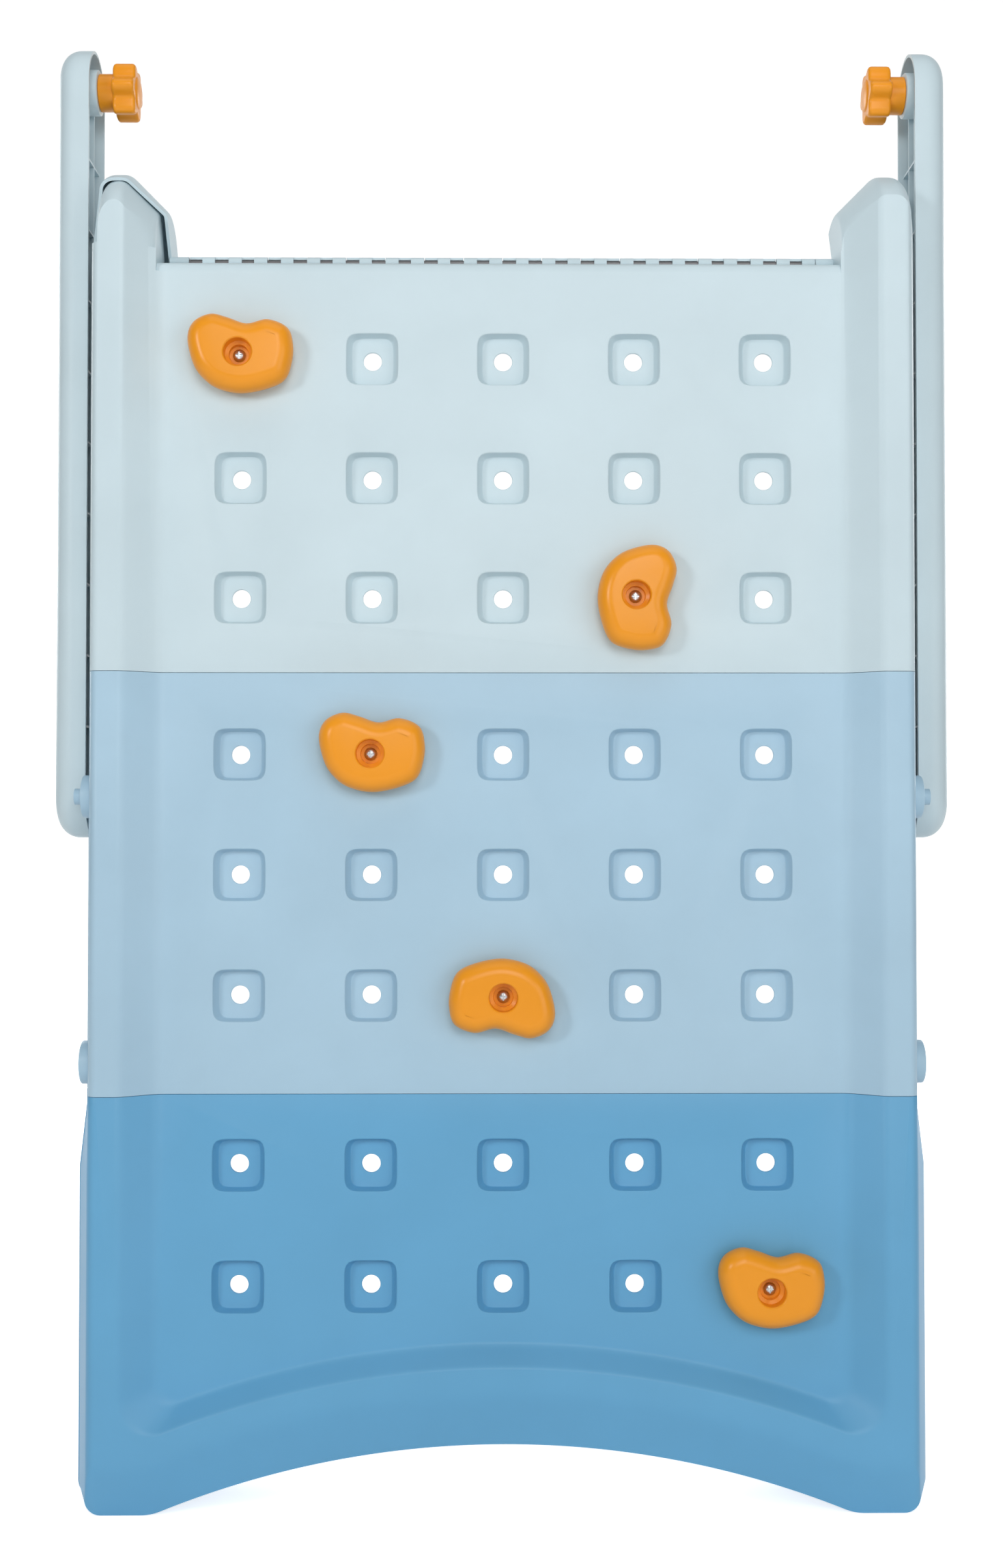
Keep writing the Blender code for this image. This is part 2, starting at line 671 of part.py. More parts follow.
def knuckle_parts():
    """The wall's own knuckles, every second one from the left, and the windows that show the rod."""
    knuckles, windows = [], []
    start = -KNUCKLES * KNUCKLE_PITCH / 2
    width = KNUCKLE_PITCH - KNUCKLE_GAP
    side = (width - KNUCKLE_MIDDLE) / 2
    edge = KNUCKLE_EDGE
    far = BARREL_RADIUS + TOUCH_GAP
    high = HINGE_Z + far
    for i in range(0, KNUCKLES, 2):
        x = start + i * KNUCKLE_PITCH + KNUCKLE_GAP / 2
        knuckles.append(along_x("knuckle", knuckle_outline(), x, x + width))
        low = HINGE_Z - KNUCKLE_SILL
        windows.append(box("front_window", (x - edge, -far, low), (x + side, -edge, high)))
        windows.append(box("front_window", (x + width - side, -far, low), (x + width + edge, -edge, high)))
        windows.append(box("back_window", (x + side, edge, HINGE_Z - far), (x + width - side, far, high)))
    end = start + KNUCKLES * KNUCKLE_PITCH + KNUCKLE_GAP / 2
    knuckles.append(along_x("end_block", knuckle_outline(), end, EAR_INNER_X + SKIN / 2))
    ends = (start - BEYOND, EAR_INNER_X - SKIN)
    bore = rod_of("bore", "X", (0, 0, HINGE_Z), ROD_RADIUS + ROD_CLEARANCE, *ends, 12)
    return grouped("knuckles", knuckles), grouped("knuckle_windows", windows), bore


def make_top(open_frame):
    low, high = SEAM_UPPER_Z + SEAM_GAP / 2, ABOVE_Z
    body = wall_block("top_body", low, high)
    room = wall_block("top_room", low + SKIN, high, SKIN)
    hood_high = (BESIDE_X, EAR_RADIUS + BEYOND, high)
    join(body, box("hood", (EAR_INNER_X - HOOD_LAP, -HOOD_FRONT, HINGE_Z), hood_high))
    join(room, box("hood_room", (EAR_INNER_X - HOOD_LAP + 0.002, -HOOD_FRONT, HINGE_Z - 0.0005), hood_high))
    for large in (True, False):
        word = "large" if large else "small"
        cut(body, cut(above_hinge(word + "_trim", large, 0.0), ear_body(word + "_ear", large)))
        ear_room = ear_body(word + "_ear_room", large, SKIN)
        cut(room, cut(above_hinge(word + "_room_trim", large, SKIN), ear_room))
    far = BESIDE_X + BEYOND
    cut(body, wrap_wedge("small_end", SMALL_EAR_END, pi, -far, -EAR_INNER_X + SKIN))
    cut(body, wrap_wedge("hood_end", pi / 2 + EAR_WRAP, pi + 0.4, EAR_INNER_X - 1.25 * HOOD_LAP, far))
    nested = EAR_INNER_X + 2 * EAR_NEST
    gap = along_x("between_ears", ledge_outline(0.0), -nested, EAR_INNER_X)
    lap = SKIN + 2 * TOUCH_GAP
    gap_room = along_x("between_ears_room", ledge_outline(SKIN), -nested - lap, EAR_INNER_X + lap)
    cut(room, pocket("top_face_back", SKIN), gap_room)
    rows = [TOP_ROW_Z - i * ROW_PITCH for i in range(3)]
    cut(body, pocket("top_pocket"), gap, room)
    openings = [window(SEAM_UPPER_Z + RAIL_HALF, WINDOW_TOP_Z)] if open_frame else []
    finish_face(body, rows, seam_pads(low, True), seam_holes(SEAM_UPPER_Z), openings)
    knuckles, windows, bore = knuckle_parts()
    join(body, knuckles)
    cut(body, bore, windows)
    return settled_mesh(body)


def lock_geometry():
    """Length between the arm's centres, and the angle it swings through to the opened front wall's boss."""
    y, z = -BOSS_SET_BACK, BOSS_LOWER_Z - HINGE_Z
    lock_y = y * cos(OPEN_ANGLE) + z * sin(OPEN_ANGLE)
    lock_z = HINGE_Z - y * sin(OPEN_ANGLE) + z * cos(OPEN_ANGLE)
    reach_y, reach_z = lock_y - PIVOT.y, lock_z - PIVOT.z
    return hypot(reach_y, reach_z), atan2(-reach_y, reach_z)


def stadium(x, radius, length):
    top = arc((0, length), radius, 0, pi, 8)
    bottom = arc((0, 0), radius, pi, 2 * pi, 8)
    return [(x, y, z) for y, z in top + bottom]


def arm_shell(name, length, inset):
    loops = [stadium(ARM_INNER_X - (BEYOND if inset else 0.0), ARM_HALF_DEPTH - inset, length)]
    round_start = ARM_OUTER_X - ARM_ROUND
    for i in range(ROUND_STEPS + 2):
        angle = pi / 2 * i / (ROUND_STEPS + 1)
        radius = ARM_HALF_DEPTH - ARM_ROUND * (1 - cos(angle)) - inset
        loops.append(stadium(round_start + ARM_ROUND * sin(angle) - inset, radius, length))
    return loft(name, loops)


def make_arm(length):
    body = cut(arm_shell("arm_body", length, 0.0), arm_shell("arm_room", length, SKIN))
    plate = ARM_OUTER_X - SKIN / 2
    inner = ARM_INNER_X + ARM_RIB_SET_BACK
    half = ARM_RIB_THICKNESS / 2
    ribs = []
    for side in (-1, 1):
        y = side * ARM_RIB_SPREAD
        high = (plate, y + half, length - ARM_RIB_START)
        ribs.append(box("long_rib", (inner, y - half, ARM_RIB_START), high))
    pitch = length / (ARM_RIBS + 1)
    wide = ARM_HALF_DEPTH - SKIN / 2
    narrow = ARM_HALF_DEPTH - ARM_RIB_CORNER
    shoulder = ARM_OUTER_X - ARM_ROUND
    outline = [(-wide, inner), (wide, inner), (wide, shoulder)]
    outline += [(narrow, plate), (-narrow, plate), (-wide, shoulder)]
    for i in range(1, ARM_RIBS + 1):
        z = i * pitch
        levels = (z - half, z + half)
        ribs.append(loft("cross_rib", [[(x, y, level) for y, x in outline] for level in levels]))
    face, floor = BOSS_OUTER_X + RUNNING_GAP, plate - PIN_END_GAP
    bosses = [rod_of("arm_boss", "X", (0, 0, z), ARM_BOSS_RADIUS, face, plate, 20) for z in (0.0, length)]
    bores = [
        rod_of("pin_bore", "X", (0, 0, 0), PIN_RADIUS + TOUCH_GAP, BOSS_OUTER_X, floor, 12),
        rod_of("stud_bore", "X", (0, 0, length), KNOB_STUD_RADIUS + TOUCH_GAP, BOSS_OUTER_X, floor, 20),
    ]
    join(body, *ribs[:2], grouped("cross_ribs", ribs[2:]), grouped("arm_bosses", bosses))
    cut(body, grouped("arm_bores", bores))
    return settled_mesh(body)


def make_pin():
    head_end = BOSS_OUTER_X - BOSS_LENGTH - TOUCH_GAP
    tip = ARM_OUTER_X - SKIN / 2 - PIN_END_GAP - TOUCH_GAP
    profile = [
        (head_end - PIN_HEAD, PIN_HEAD_RADIUS * 0.8), (head_end - PIN_HEAD * 0.7, PIN_HEAD_RADIUS),
        (head_end, PIN_HEAD_RADIUS), (head_end, PIN_RADIUS), (tip, PIN_RADIUS),
    ]
    return settled_mesh(lathe("pin", profile, "X", (0, 0, 0), 12))


def knob_ring(x, radius, depth):
    """A lobed outline across the knob's axis."""
    ring = []
    steps = KNOB_LOBES * 6
    for i in range(steps):
        angle = 2 * pi * i / steps
        r = radius - depth * (1 - cos(KNOB_LOBES * angle)) / 2
        ring.append((x, r * cos(angle), r * sin(angle)))
    return ring


def make_knob():
    outer = BOSS_OUTER_X - BOSS_LENGTH - TOUCH_GAP
    front = outer - KNOB_THICKNESS
    edge = KNOB_EDGE
    lobes = KNOB_LOBE_DEPTH
    head = loft("knob_head", [
        knob_ring(outer, KNOB_RADIUS - edge, lobes), knob_ring(outer - edge, KNOB_RADIUS, lobes),
        knob_ring(front + edge, KNOB_RADIUS - 0.0006, lobes), knob_ring(front, KNOB_RADIUS - edge, lobes),
        knob_ring(front - KNOB_DOME * 0.7, KNOB_RADIUS * 0.55, 0.0),
        knob_ring(front - KNOB_DOME, KNOB_RADIUS * 0.25, 0.0),
    ])
    shoulder = BOSS_OUTER_X + RUNNING_GAP - TOUCH_GAP
    shank = lathe("knob_shank", [
        (outer - edge, KNOB_SHANK_RADIUS), (shoulder, KNOB_SHANK_RADIUS), (shoulder, KNOB_STUD_RADIUS),
        (shoulder + KNOB_STUD, KNOB_STUD_RADIUS),
    ], "X", (0, 0, 0), 20)
    return settled_mesh(join(head, shank))


def hold_ring(y, inset):
    """The kidney outline of a hold, drawn in by an inset: a smooth closed curve through its points."""
    points = [Vector(point) for point in HOLD_OUTLINE]
    count = len(points)
    ring = []
    for i in range(count):
        before, here, after = points[i - 1], points[i], points[(i + 1) % count]
        beyond = points[(i + 2) % count]
        for t in (0.0, 0.5):
            curved = 0.5 * (
                2 * here + (after - before) * t + (2 * before - 5 * here + 4 * after - beyond) * t**2
                + (3 * here - before - 3 * after + beyond) * t**3)
            along = (after - before) * (1 - t) + (beyond - here) * t
            outward = Vector((along.y, -along.x)).normalized()
            placed = curved - outward * inset
            ring.append((placed.x, y, placed.y))
    return ring


def make_hold():
    base = -FACE_DEPTH - TOUCH_GAP
    front = base - HOLD_PROUD
    body = loft("hold_body", [hold_ring(base - HOLD_PROUD * share, inset) for share, inset in HOLD_LEVELS])
    half = SEAT_HALF - PLUG_CLEARANCE
    small = half - SEAT_SIDE_TAPER * HOLD_PLUG / SEAT_DEPTH
    plug = loft("plug", [
        seat_ring(base - SKIN / 2, 0, 0, half, half), seat_ring(-FACE_DEPTH, 0, 0, half, half),
        seat_ring(-FACE_DEPTH + HOLD_PLUG, 0, 0, small, small),
    ])
    join(body, plug)
    ends = (front - BEYOND, front + HOLD_BORE_DEPTH)
    cut(body, rod_of("counterbore", "Y", (0, 0, 0), HOLD_BORE_RADIUS, *ends, 14))
    cut(body, rod_of("bolt_bore", "Y", (0, 0, 0), BOLT_RADIUS + 2 * TOUCH_GAP, front, 0, 8))
    return settled_mesh(body)


def make_hold_bolt():
    seat = -FACE_DEPTH - TOUCH_GAP - HOLD_PROUD + HOLD_BORE_DEPTH - TOUCH_GAP
    tip = -SEAT_FLOOR_DEPTH + SKIN + NUT_FLANGE + NUT_HEX + BOLT_END
    profile = [
        (seat - BOLT_HEAD, BOLT_HEAD_RADIUS * 0.45), (seat - BOLT_HEAD * 0.6, BOLT_HEAD_RADIUS * 0.85),
        (seat - BOLT_HEAD * 0.15, BOLT_HEAD_RADIUS), (seat, BOLT_HEAD_RADIUS),
        (seat, BOLT_RADIUS), (tip, BOLT_RADIUS),
    ]
    return settled_mesh(lathe("hold_bolt", profile, "Y", (0, 0, 0), 10))


def make_hold_nut():
    seat = -SEAT_FLOOR_DEPTH + SKIN + TOUCH_GAP
    face, end = seat + NUT_FLANGE, seat + NUT_FLANGE + NUT_HEX
    body = rod_of("nut_flange", "Y", (0, 0, 0), NUT_RADIUS, seat, face, 16)
    join(body, rod_of("nut_hex", "Y", (0, 0, 0), NUT_HEX_RADIUS, seat + NUT_FLANGE / 2, end, 6))
    cut(body, rod_of("nut_bore", "Y", (0, 0, 0), BOLT_RADIUS + 2 * TOUCH_GAP, seat - BEYOND, end + BEYOND, 8))
    return settled_mesh(body)


def make_seam_screw():
    """Screw up through both end walls of a seam, its head under the lower wall's pad."""
    head = -SEAM_GAP / 2 - SEAM_PAD - TOUCH_GAP
    profile = [
        (head - SEAM_SCREW_HEAD, SEAM_SCREW_HEAD_RADIUS), (head, SEAM_SCREW_HEAD_RADIUS),
        (head, SEAM_SCREW_RADIUS), (SEAM_PAD + SEAM_SCREW_END, SEAM_SCREW_RADIUS),
    ]
    return settled_mesh(lathe("seam_screw", profile, "Z", (0, 0, 0), 8))


HOLD_PLACES = (
    ("top_left", -2, TOP_ROW_Z, 0),
    ("top_right", 1, TOP_ROW_Z - 2 * ROW_PITCH, -90),
    ("middle_left", -1, MIDDLE_ROW_Z, 0),
    ("middle_low", 0, MIDDLE_ROW_Z - 2 * ROW_PITCH, 180),
    ("bottom_right", 2, BOTTOM_ROW_Z - ROW_PITCH, 0),
)


def build():
    front = guide("front_wall_axis", (0, 0, HINGE_Z))
    rear = guide("rear_wall_axis", (0, 0, HINGE_Z), pi)
    drop = (0, 0, -HINGE_Z)
    makers = (
        ("top", make_top, "pale_blue"),
        ("middle", make_middle, "middle_blue"),
        ("bottom", make_bottom, "deep_blue"),
    )
    for wall, parent in (("front", front), ("rear", rear)):
        for name, make, finish in makers:
            place(f"{wall}_{name}", make(wall == "rear"), finish, parent, drop)

    screw = make_seam_screw()
    for wall, parent in (("front", front), ("rear", rear)):
        for seam, z in (("upper", SEAM_UPPER_Z), ("lower", SEAM_LOWER_Z)):
            for i, x in enumerate(SEAM_SCREWS_X):
                location = (x, SEAM_SCREW_Y, z - HINGE_Z)
                place(f"{wall}_{seam}_seam_screw_{i + 1}", screw, "steel", parent, location)

    hold, bolt, nut = make_hold(), make_hold_bolt(), make_hold_nut()
    for word, column, z, turn in HOLD_PLACES:
        location = (column * COLUMN_PITCH, 0, z - HINGE_Z)
        piece = place("hold_" + word, hold, "orange", front, location)
        piece.rotation_euler.y = radians(-turn)
        place("hold_bolt_" + word, bolt, "steel", front, location)
        place("hold_nut_" + word, nut, "steel", front, location)

    rod_end = KNUCKLES * KNUCKLE_PITCH / 2
    rod = rod_of("rod", "X", (0, 0, 0), ROD_RADIUS, -rod_end - ROD_END, rod_end + ROD_END, 12)
    place("hinge_rod", settled_mesh(rod), "steel", None, (0, 0, HINGE_Z))

    length, lock_angle = lock_geometry()
    arm, pin, knob = make_arm(length), make_pin(), make_knob()
    for word, turn in (("right", 0.0), ("left", pi)):
        pivot = guide(word + "_arm_axis", PIVOT, turn)
        place(word + "_arm", arm, "pale_blue", pivot)
        place(word + "_pivot_pin", pin, "steel", pivot)
        place(word + "_knob", knob, "orange", pivot, (0, 0, length))
    print("arm centres", round(length, 6), "lock angle", round(degrees(lock_angle), 4))


clear_scene()
PARTS = new_collection("climbing_wall")
TOOLS = new_collection("cutters")
build()
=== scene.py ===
"""A folding climbing wall for a child, folded flat and standing on a plain floor.

The sections follow the object as it is put together: the studio, the rear wall's three
mouldings, the front wall's, the rod between them, the holds, the arms and the knobs.
"""

import json
from math import atan, atan2, cos, degrees, pi, radians, sin

import bmesh
import bpy
from mathutils import Matrix, Vector

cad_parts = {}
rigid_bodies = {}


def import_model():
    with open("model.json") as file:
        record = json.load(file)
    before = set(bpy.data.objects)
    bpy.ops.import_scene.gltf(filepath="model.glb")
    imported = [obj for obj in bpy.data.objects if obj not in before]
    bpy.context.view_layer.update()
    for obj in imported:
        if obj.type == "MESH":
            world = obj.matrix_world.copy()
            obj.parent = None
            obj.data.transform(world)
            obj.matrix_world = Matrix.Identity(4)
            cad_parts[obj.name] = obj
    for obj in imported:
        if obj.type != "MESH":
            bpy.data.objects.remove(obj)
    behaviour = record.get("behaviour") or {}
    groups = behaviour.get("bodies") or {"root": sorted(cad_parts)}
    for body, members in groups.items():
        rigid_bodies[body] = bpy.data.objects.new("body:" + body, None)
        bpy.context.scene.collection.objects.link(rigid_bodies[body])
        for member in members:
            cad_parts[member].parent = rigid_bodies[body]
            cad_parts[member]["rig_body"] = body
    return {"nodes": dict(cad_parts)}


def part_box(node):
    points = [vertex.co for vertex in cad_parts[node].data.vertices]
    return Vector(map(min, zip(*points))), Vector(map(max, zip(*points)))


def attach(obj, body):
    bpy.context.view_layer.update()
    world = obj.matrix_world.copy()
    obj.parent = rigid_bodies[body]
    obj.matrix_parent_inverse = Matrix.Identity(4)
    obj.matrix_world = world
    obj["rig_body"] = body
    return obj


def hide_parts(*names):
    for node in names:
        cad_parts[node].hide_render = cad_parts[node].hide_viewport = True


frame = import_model()
bpy.ops.object.select_all(action="DESELECT")
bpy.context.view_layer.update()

# The studio: the camera where the photograph was taken, low and square on to the wall, a white
# floor that rises into a backdrop, and large soft lamps on both sides and above.

CAMERA_PLACE = (-0.02215, -2.2046, 0.7677)
CAMERA_PITCH = radians(91.413)
CAMERA_YAW = radians(-0.540)
FOCAL_PIXELS = 2900
PHOTO_HEIGHT = 2408
FILM = 36

camera_data = bpy.data.cameras.new("camera")
camera_data.sensor_width = FILM
camera_data.lens = FILM * FOCAL_PIXELS / PHOTO_HEIGHT
camera_data.clip_end = 50
camera = bpy.data.objects.new("camera", camera_data)
bpy.context.scene.collection.objects.link(camera)
camera.location = CAMERA_PLACE
camera.rotation_euler = (CAMERA_PITCH, 0, CAMERA_YAW)
bpy.context.scene.camera = camera
bpy.context.scene.view_settings.view_transform = "Standard"

FLOOR_SIZE = 16
BACKDROP_DISTANCE = 5
FLOOR_DROP = 0.0005

bpy.ops.mesh.primitive_plane_add(size=FLOOR_SIZE, location=(0, BACKDROP_DISTANCE - FLOOR_SIZE / 2, -FLOOR_DROP))
floor = bpy.context.object
floor.name = "floor"
bpy.ops.object.mode_set(mode="EDIT")
bpy.ops.mesh.select_mode(type="EDGE")
bpy.ops.mesh.select_all(action="DESELECT")
floor_shape = bmesh.from_edit_mesh(floor.data)
for edge in floor_shape.edges:
    if all(vertex.co.y > FLOOR_SIZE / 2 - 0.01 for vertex in edge.verts):
        edge.select_set(True)
bmesh.update_edit_mesh(floor.data)
bpy.ops.mesh.extrude_region_move(TRANSFORM_OT_translate={"value": (0, 0, FLOOR_SIZE / 2)})
bpy.ops.mesh.select_all(action="DESELECT")
floor_shape = bmesh.from_edit_mesh(floor.data)
for edge in floor_shape.edges:
    if all(vertex.co.y > FLOOR_SIZE / 2 - 0.01 and vertex.co.z < 0.01 for vertex in edge.verts):
        edge.select_set(True)
bmesh.update_edit_mesh(floor.data)
bpy.ops.mesh.bevel(offset=1.6, segments=12, affect="EDGES")
bpy.ops.object.mode_set(mode="OBJECT")
bpy.ops.object.shade_smooth()

paper = bpy.data.materials.new("white_paper")
paper.use_nodes = True
paper_nodes, paper_links = paper.node_tree.nodes, paper.node_tree.links
paper_shader = paper_nodes["Principled BSDF"]
paper_shader.inputs["Base Color"].default_value = (0.86, 0.86, 0.86, 1)
paper_shader.inputs["Roughness"].default_value = 0.9
paper_glow = paper_nodes.new("ShaderNodeEmission")
paper_glow.inputs["Color"].default_value = (1, 1, 1, 1)
paper_glow.inputs["Strength"].default_value = 0.7
seen_directly = paper_nodes.new("ShaderNodeLightPath")
lit_paper = paper_nodes.new("ShaderNodeAddShader")
seen_or_mirrored = paper_nodes.new("ShaderNodeMath")
seen_or_mirrored.operation = "MAXIMUM"
paper_choice = paper_nodes.new("ShaderNodeMixShader")
paper_links.new(paper_shader.outputs["BSDF"], lit_paper.inputs[0])
paper_links.new(paper_glow.outputs["Emission"], lit_paper.inputs[1])
paper_links.new(seen_directly.outputs["Is Camera Ray"], seen_or_mirrored.inputs[0])
paper_links.new(seen_directly.outputs["Is Glossy Ray"], seen_or_mirrored.inputs[1])
paper_links.new(seen_or_mirrored.outputs["Value"], paper_choice.inputs["Fac"])
paper_links.new(paper_shader.outputs["BSDF"], paper_choice.inputs[1])
paper_links.new(lit_paper.outputs["Shader"], paper_choice.inputs[2])
paper_links.new(paper_choice.outputs["Shader"], paper_nodes["Material Output"].inputs["Surface"])
floor.data.materials.append(paper)

room_light = bpy.data.worlds.new("studio")
room_light.use_nodes = True
room_nodes, room_links = room_light.node_tree.nodes, room_light.node_tree.links
soft_light = room_nodes["Background"]
soft_light.inputs["Color"].default_value = (1, 1, 1, 1)
soft_light.inputs["Strength"].default_value = 0.15
white_room = room_nodes.new("ShaderNodeBackground")
white_room.inputs["Color"].default_value = (1, 1, 1, 1)
white_room.inputs["Strength"].default_value = 1
room_seen = room_nodes.new("ShaderNodeLightPath")
room_choice = room_nodes.new("ShaderNodeMixShader")
room_links.new(room_seen.outputs["Is Camera Ray"], room_choice.inputs["Fac"])
room_links.new(soft_light.outputs["Background"], room_choice.inputs[1])
room_links.new(white_room.outputs["Background"], room_choice.inputs[2])
room_links.new(room_choice.outputs["Shader"], room_nodes["World Output"].inputs["Surface"])
bpy.context.scene.world = room_light

LAMPS = (
    ("key_lamp", (-2.9, -3.4, 1.9), 0.8, 46),
    ("fill_lamp", (2.9, -3.2, 1.3), 2.4, 38),
    ("front_lamp", (0.3, -4.4, 2.5), 2.2, 72),
    ("top_lamp", (0.0, -0.6, 3.4), 2.0, 12),
    ("left_back_lamp", (-2.8, 3.2, 2.2), 2.0, 60),
    ("right_back_lamp", (2.8, 3.2, 1.8), 2.0, 50),
)
for lamp_name, lamp_place, lamp_size, lamp_power in LAMPS:
    bpy.ops.object.light_add(type="AREA", location=lamp_place)
    lamp = bpy.context.object
    lamp.name = lamp_name
    lamp.data.size = lamp_size
    lamp.data.energy = lamp_power
    lamp.visible_camera = False
    aim = Vector((0, 0, 0.8)) - Vector(lamp_place)
    lamp.rotation_euler = aim.to_track_quat("-Z", "Y").to_euler()

# Rear wall, bottom moulding: blow moulded plastic, deep blue, open at the back, with an arched
# lower edge between two feet and a skirt that slopes back to it. It is an open frame round a
# window. It is lofted from its sections, hollowed to one wall thickness, then pierced.

DEPTH = 0.080
FACE_DEPTH = 0.054
WALL = 0.0035
LIP = 0.0004
RIM_HALF = 0.465
RIM_ROUND = 0.009
SLOPE_OUTER = 0.431
SLOPE_INNER = 0.391
FLARE = 0.008
FLARE_LOW = 0.380
FLARE_HIGH = 0.452
ARCH_CROWN = 0.078
ARCH_RADIUS = 1.040
FOOT_INNER = 0.407
FOOT_CORNER = 0.018
SKIRT_CROWN = 0.137
SKIRT_SIDE = 0.056
SKIRT_REACH = 0.422
SKIRT_SET_BACK = 0.016
POCKET_CROWN = 0.168
POCKET_RADIUS = 1.043
POCKET_CORNER = 0.038
FACE_CROWN = 0.187
FACE_RADIUS = 1.070
FACE_CORNER = 0.022
RAIL = 0.045
WINDOW_HALF = 0.372
WINDOW_CORNER = 0.012
WINDOW_LOW = 0.212
REACH = 0.03
SMOOTH_ANGLE = radians(30)


def wall_box(node):
    """A node's box seen with its wall's face towards -Y; the rear wall is the same form turned half round."""
    low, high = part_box(node)
    if node.startswith("rear"):
        return Vector((-high.x, -high.y, low.z)), Vector((-low.x, -low.y, high.z))
    return low, high


def arc(centre, radius, start, end, steps):
    """Points of a round stretch, both ends included."""
    turn = (end - start) / steps
    return [
        (centre[0] + radius * cos(start + turn * i), centre[1] + radius * sin(start + turn * i))
        for i in range(steps + 1)
    ]


def soft_corner(start, corner, end, steps):
    """Points that round off a corner between two straight stretches."""
    points = []
    for i in range(steps + 1):
        t = i / steps
        points.append(tuple((1 - t) ** 2 * a + 2 * t * (1 - t) * b + t**2 * c for a, b, c in zip(start, corner, end)))
    return points


def lofted(name, loops):
    """One closed solid through loops with equal counts of points."""
    count = len(loops[0])
    faces = [tuple(range(count))[::-1], tuple(range(count * (len(loops) - 1), count * len(loops)))]
    for level in range(len(loops) - 1):
        for i in range(count):
            j = (i + 1) % count
            faces.append((level * count + i, level * count + j, (level + 1) * count + j, (level + 1) * count + i))
    mesh = bpy.data.meshes.new(name)
    mesh.from_pydata([point for loop in loops for point in loop], [], faces)
    piece = bpy.data.objects.new(name, mesh)
    bpy.context.scene.collection.objects.link(piece)
    outwards(piece)
    return piece


def take(piece):
    """Makes a piece the only one selected, ready for an operator."""
    bpy.ops.object.select_all(action="DESELECT")
    piece.select_set(True)
    bpy.context.view_layer.objects.active = piece


def outwards(piece):
    take(piece)
    bpy.ops.object.mode_set(mode="EDIT")
    bpy.ops.mesh.select_all(action="SELECT")
    bpy.ops.mesh.normals_make_consistent(inside=False)
    bpy.ops.object.mode_set(mode="OBJECT")


def select_where(piece, kind, wanted):
    """Enters edit mode with only the vertices, edges or faces selected that pass a test."""
    take(piece)
    bpy.ops.object.mode_set(mode="EDIT")
    bpy.ops.mesh.select_mode(type=kind)
    bpy.ops.mesh.select_all(action="DESELECT")
    shape = bmesh.from_edit_mesh(piece.data)
    for part in {"VERT": shape.verts, "EDGE": shape.edges, "FACE": shape.faces}[kind]:
        if wanted(part):
            part.select_set(True)
    bmesh.update_edit_mesh(piece.data)


def finish_step(piece, step):
    take(piece)
    bpy.ops.object.modifier_apply(modifier=step.name)


def worked(piece, tool, operation="DIFFERENCE"):
    """Cuts a tool out of a piece, or joins it on, and throws the tool away."""
    step = piece.modifiers.new("work", "BOOLEAN")
    step.operation = operation
    step.object = tool
    step.solver = "EXACT"
    finish_step(piece, step)
    bpy.data.objects.remove(tool)


def block(name, low, high):
    """A block between two corners."""
    low, high = Vector(low), Vector(high)
    bpy.ops.mesh.primitive_cube_add(size=1, location=(low + high) / 2)
    piece = bpy.context.object
    piece.scale = high - low
    piece.name = name
    bpy.ops.object.transform_apply(location=True, rotation=True, scale=True)
    return piece


def together(name, pieces):
    """Joins loose tools into one object."""
    take(pieces[0])
    for piece in pieces[1:]:
        piece.select_set(True)
    if len(pieces) > 1:
        bpy.ops.object.join()
    pieces[0].name = name
    return pieces[0]


def arch_half(crown, foot_z, foot_x, radius, steps=30, short_steps=10):
    """Half an arch, from its crown out to the flat foot, with a tangent curve the other way between them."""
    rise = crown - foot_z
    reach = 2 * atan(rise / foot_x)
    foot_radius = foot_x / sin(reach) - radius
    long_arc = arc((0, crown - radius), radius, pi / 2, pi / 2 - reach, steps)
    short_arc = arc((foot_x, foot_z + foot_radius), foot_radius, -pi / 2 - reach, -pi / 2, short_steps)
    return long_arc + short_arc[1:]


def pocket_half(crown, radius, side, corner, steps=30, corner_steps=14):
    """Half the lower end of the face, which turns up into the straight side through a round corner."""
    middle_x = side - corner
    middle_z = crown - radius + ((radius + corner) ** 2 - middle_x**2) ** 0.5
    reach = atan2(middle_z - (crown - radius), middle_x)
    long_arc = arc((0, crown - radius), radius, pi / 2, reach, steps)
    return long_arc + arc((middle_x, middle_z), corner, reach - pi, 0, corner_steps)[1:]


def rim_levels():
    """Depth, sideways inset and share of the skirt's slope from the lip to the front of the rim."""
    levels = [(LIP, 0.0, 0.0), (DEPTH - SKIRT_SET_BACK, 0.0, 0.0)]
    curve = soft_corner((0.85, DEPTH - 0.15 * SKIRT_SET_BACK), (1.0, DEPTH), (1.15, DEPTH), 6)
    stretch = [(i / 8, DEPTH - SKIRT_SET_BACK * (1 - i / 8)) for i in range(3, 7)]
    for share, depth in stretch + curve:
        rise = max(depth - (DEPTH - RIM_ROUND), 0.0)
        levels.append((depth, RIM_ROUND - (RIM_ROUND**2 - rise**2) ** 0.5, share))
    return levels


def side_at(lip, depth, inset):
    """Outer face of a side wall, which leans in from the lip to the rim."""
    rim = RIM_HALF if lip > 0 else -RIM_HALF
    return lip + (rim - lip) * depth / DEPTH - (inset if lip > 0 else -inset)


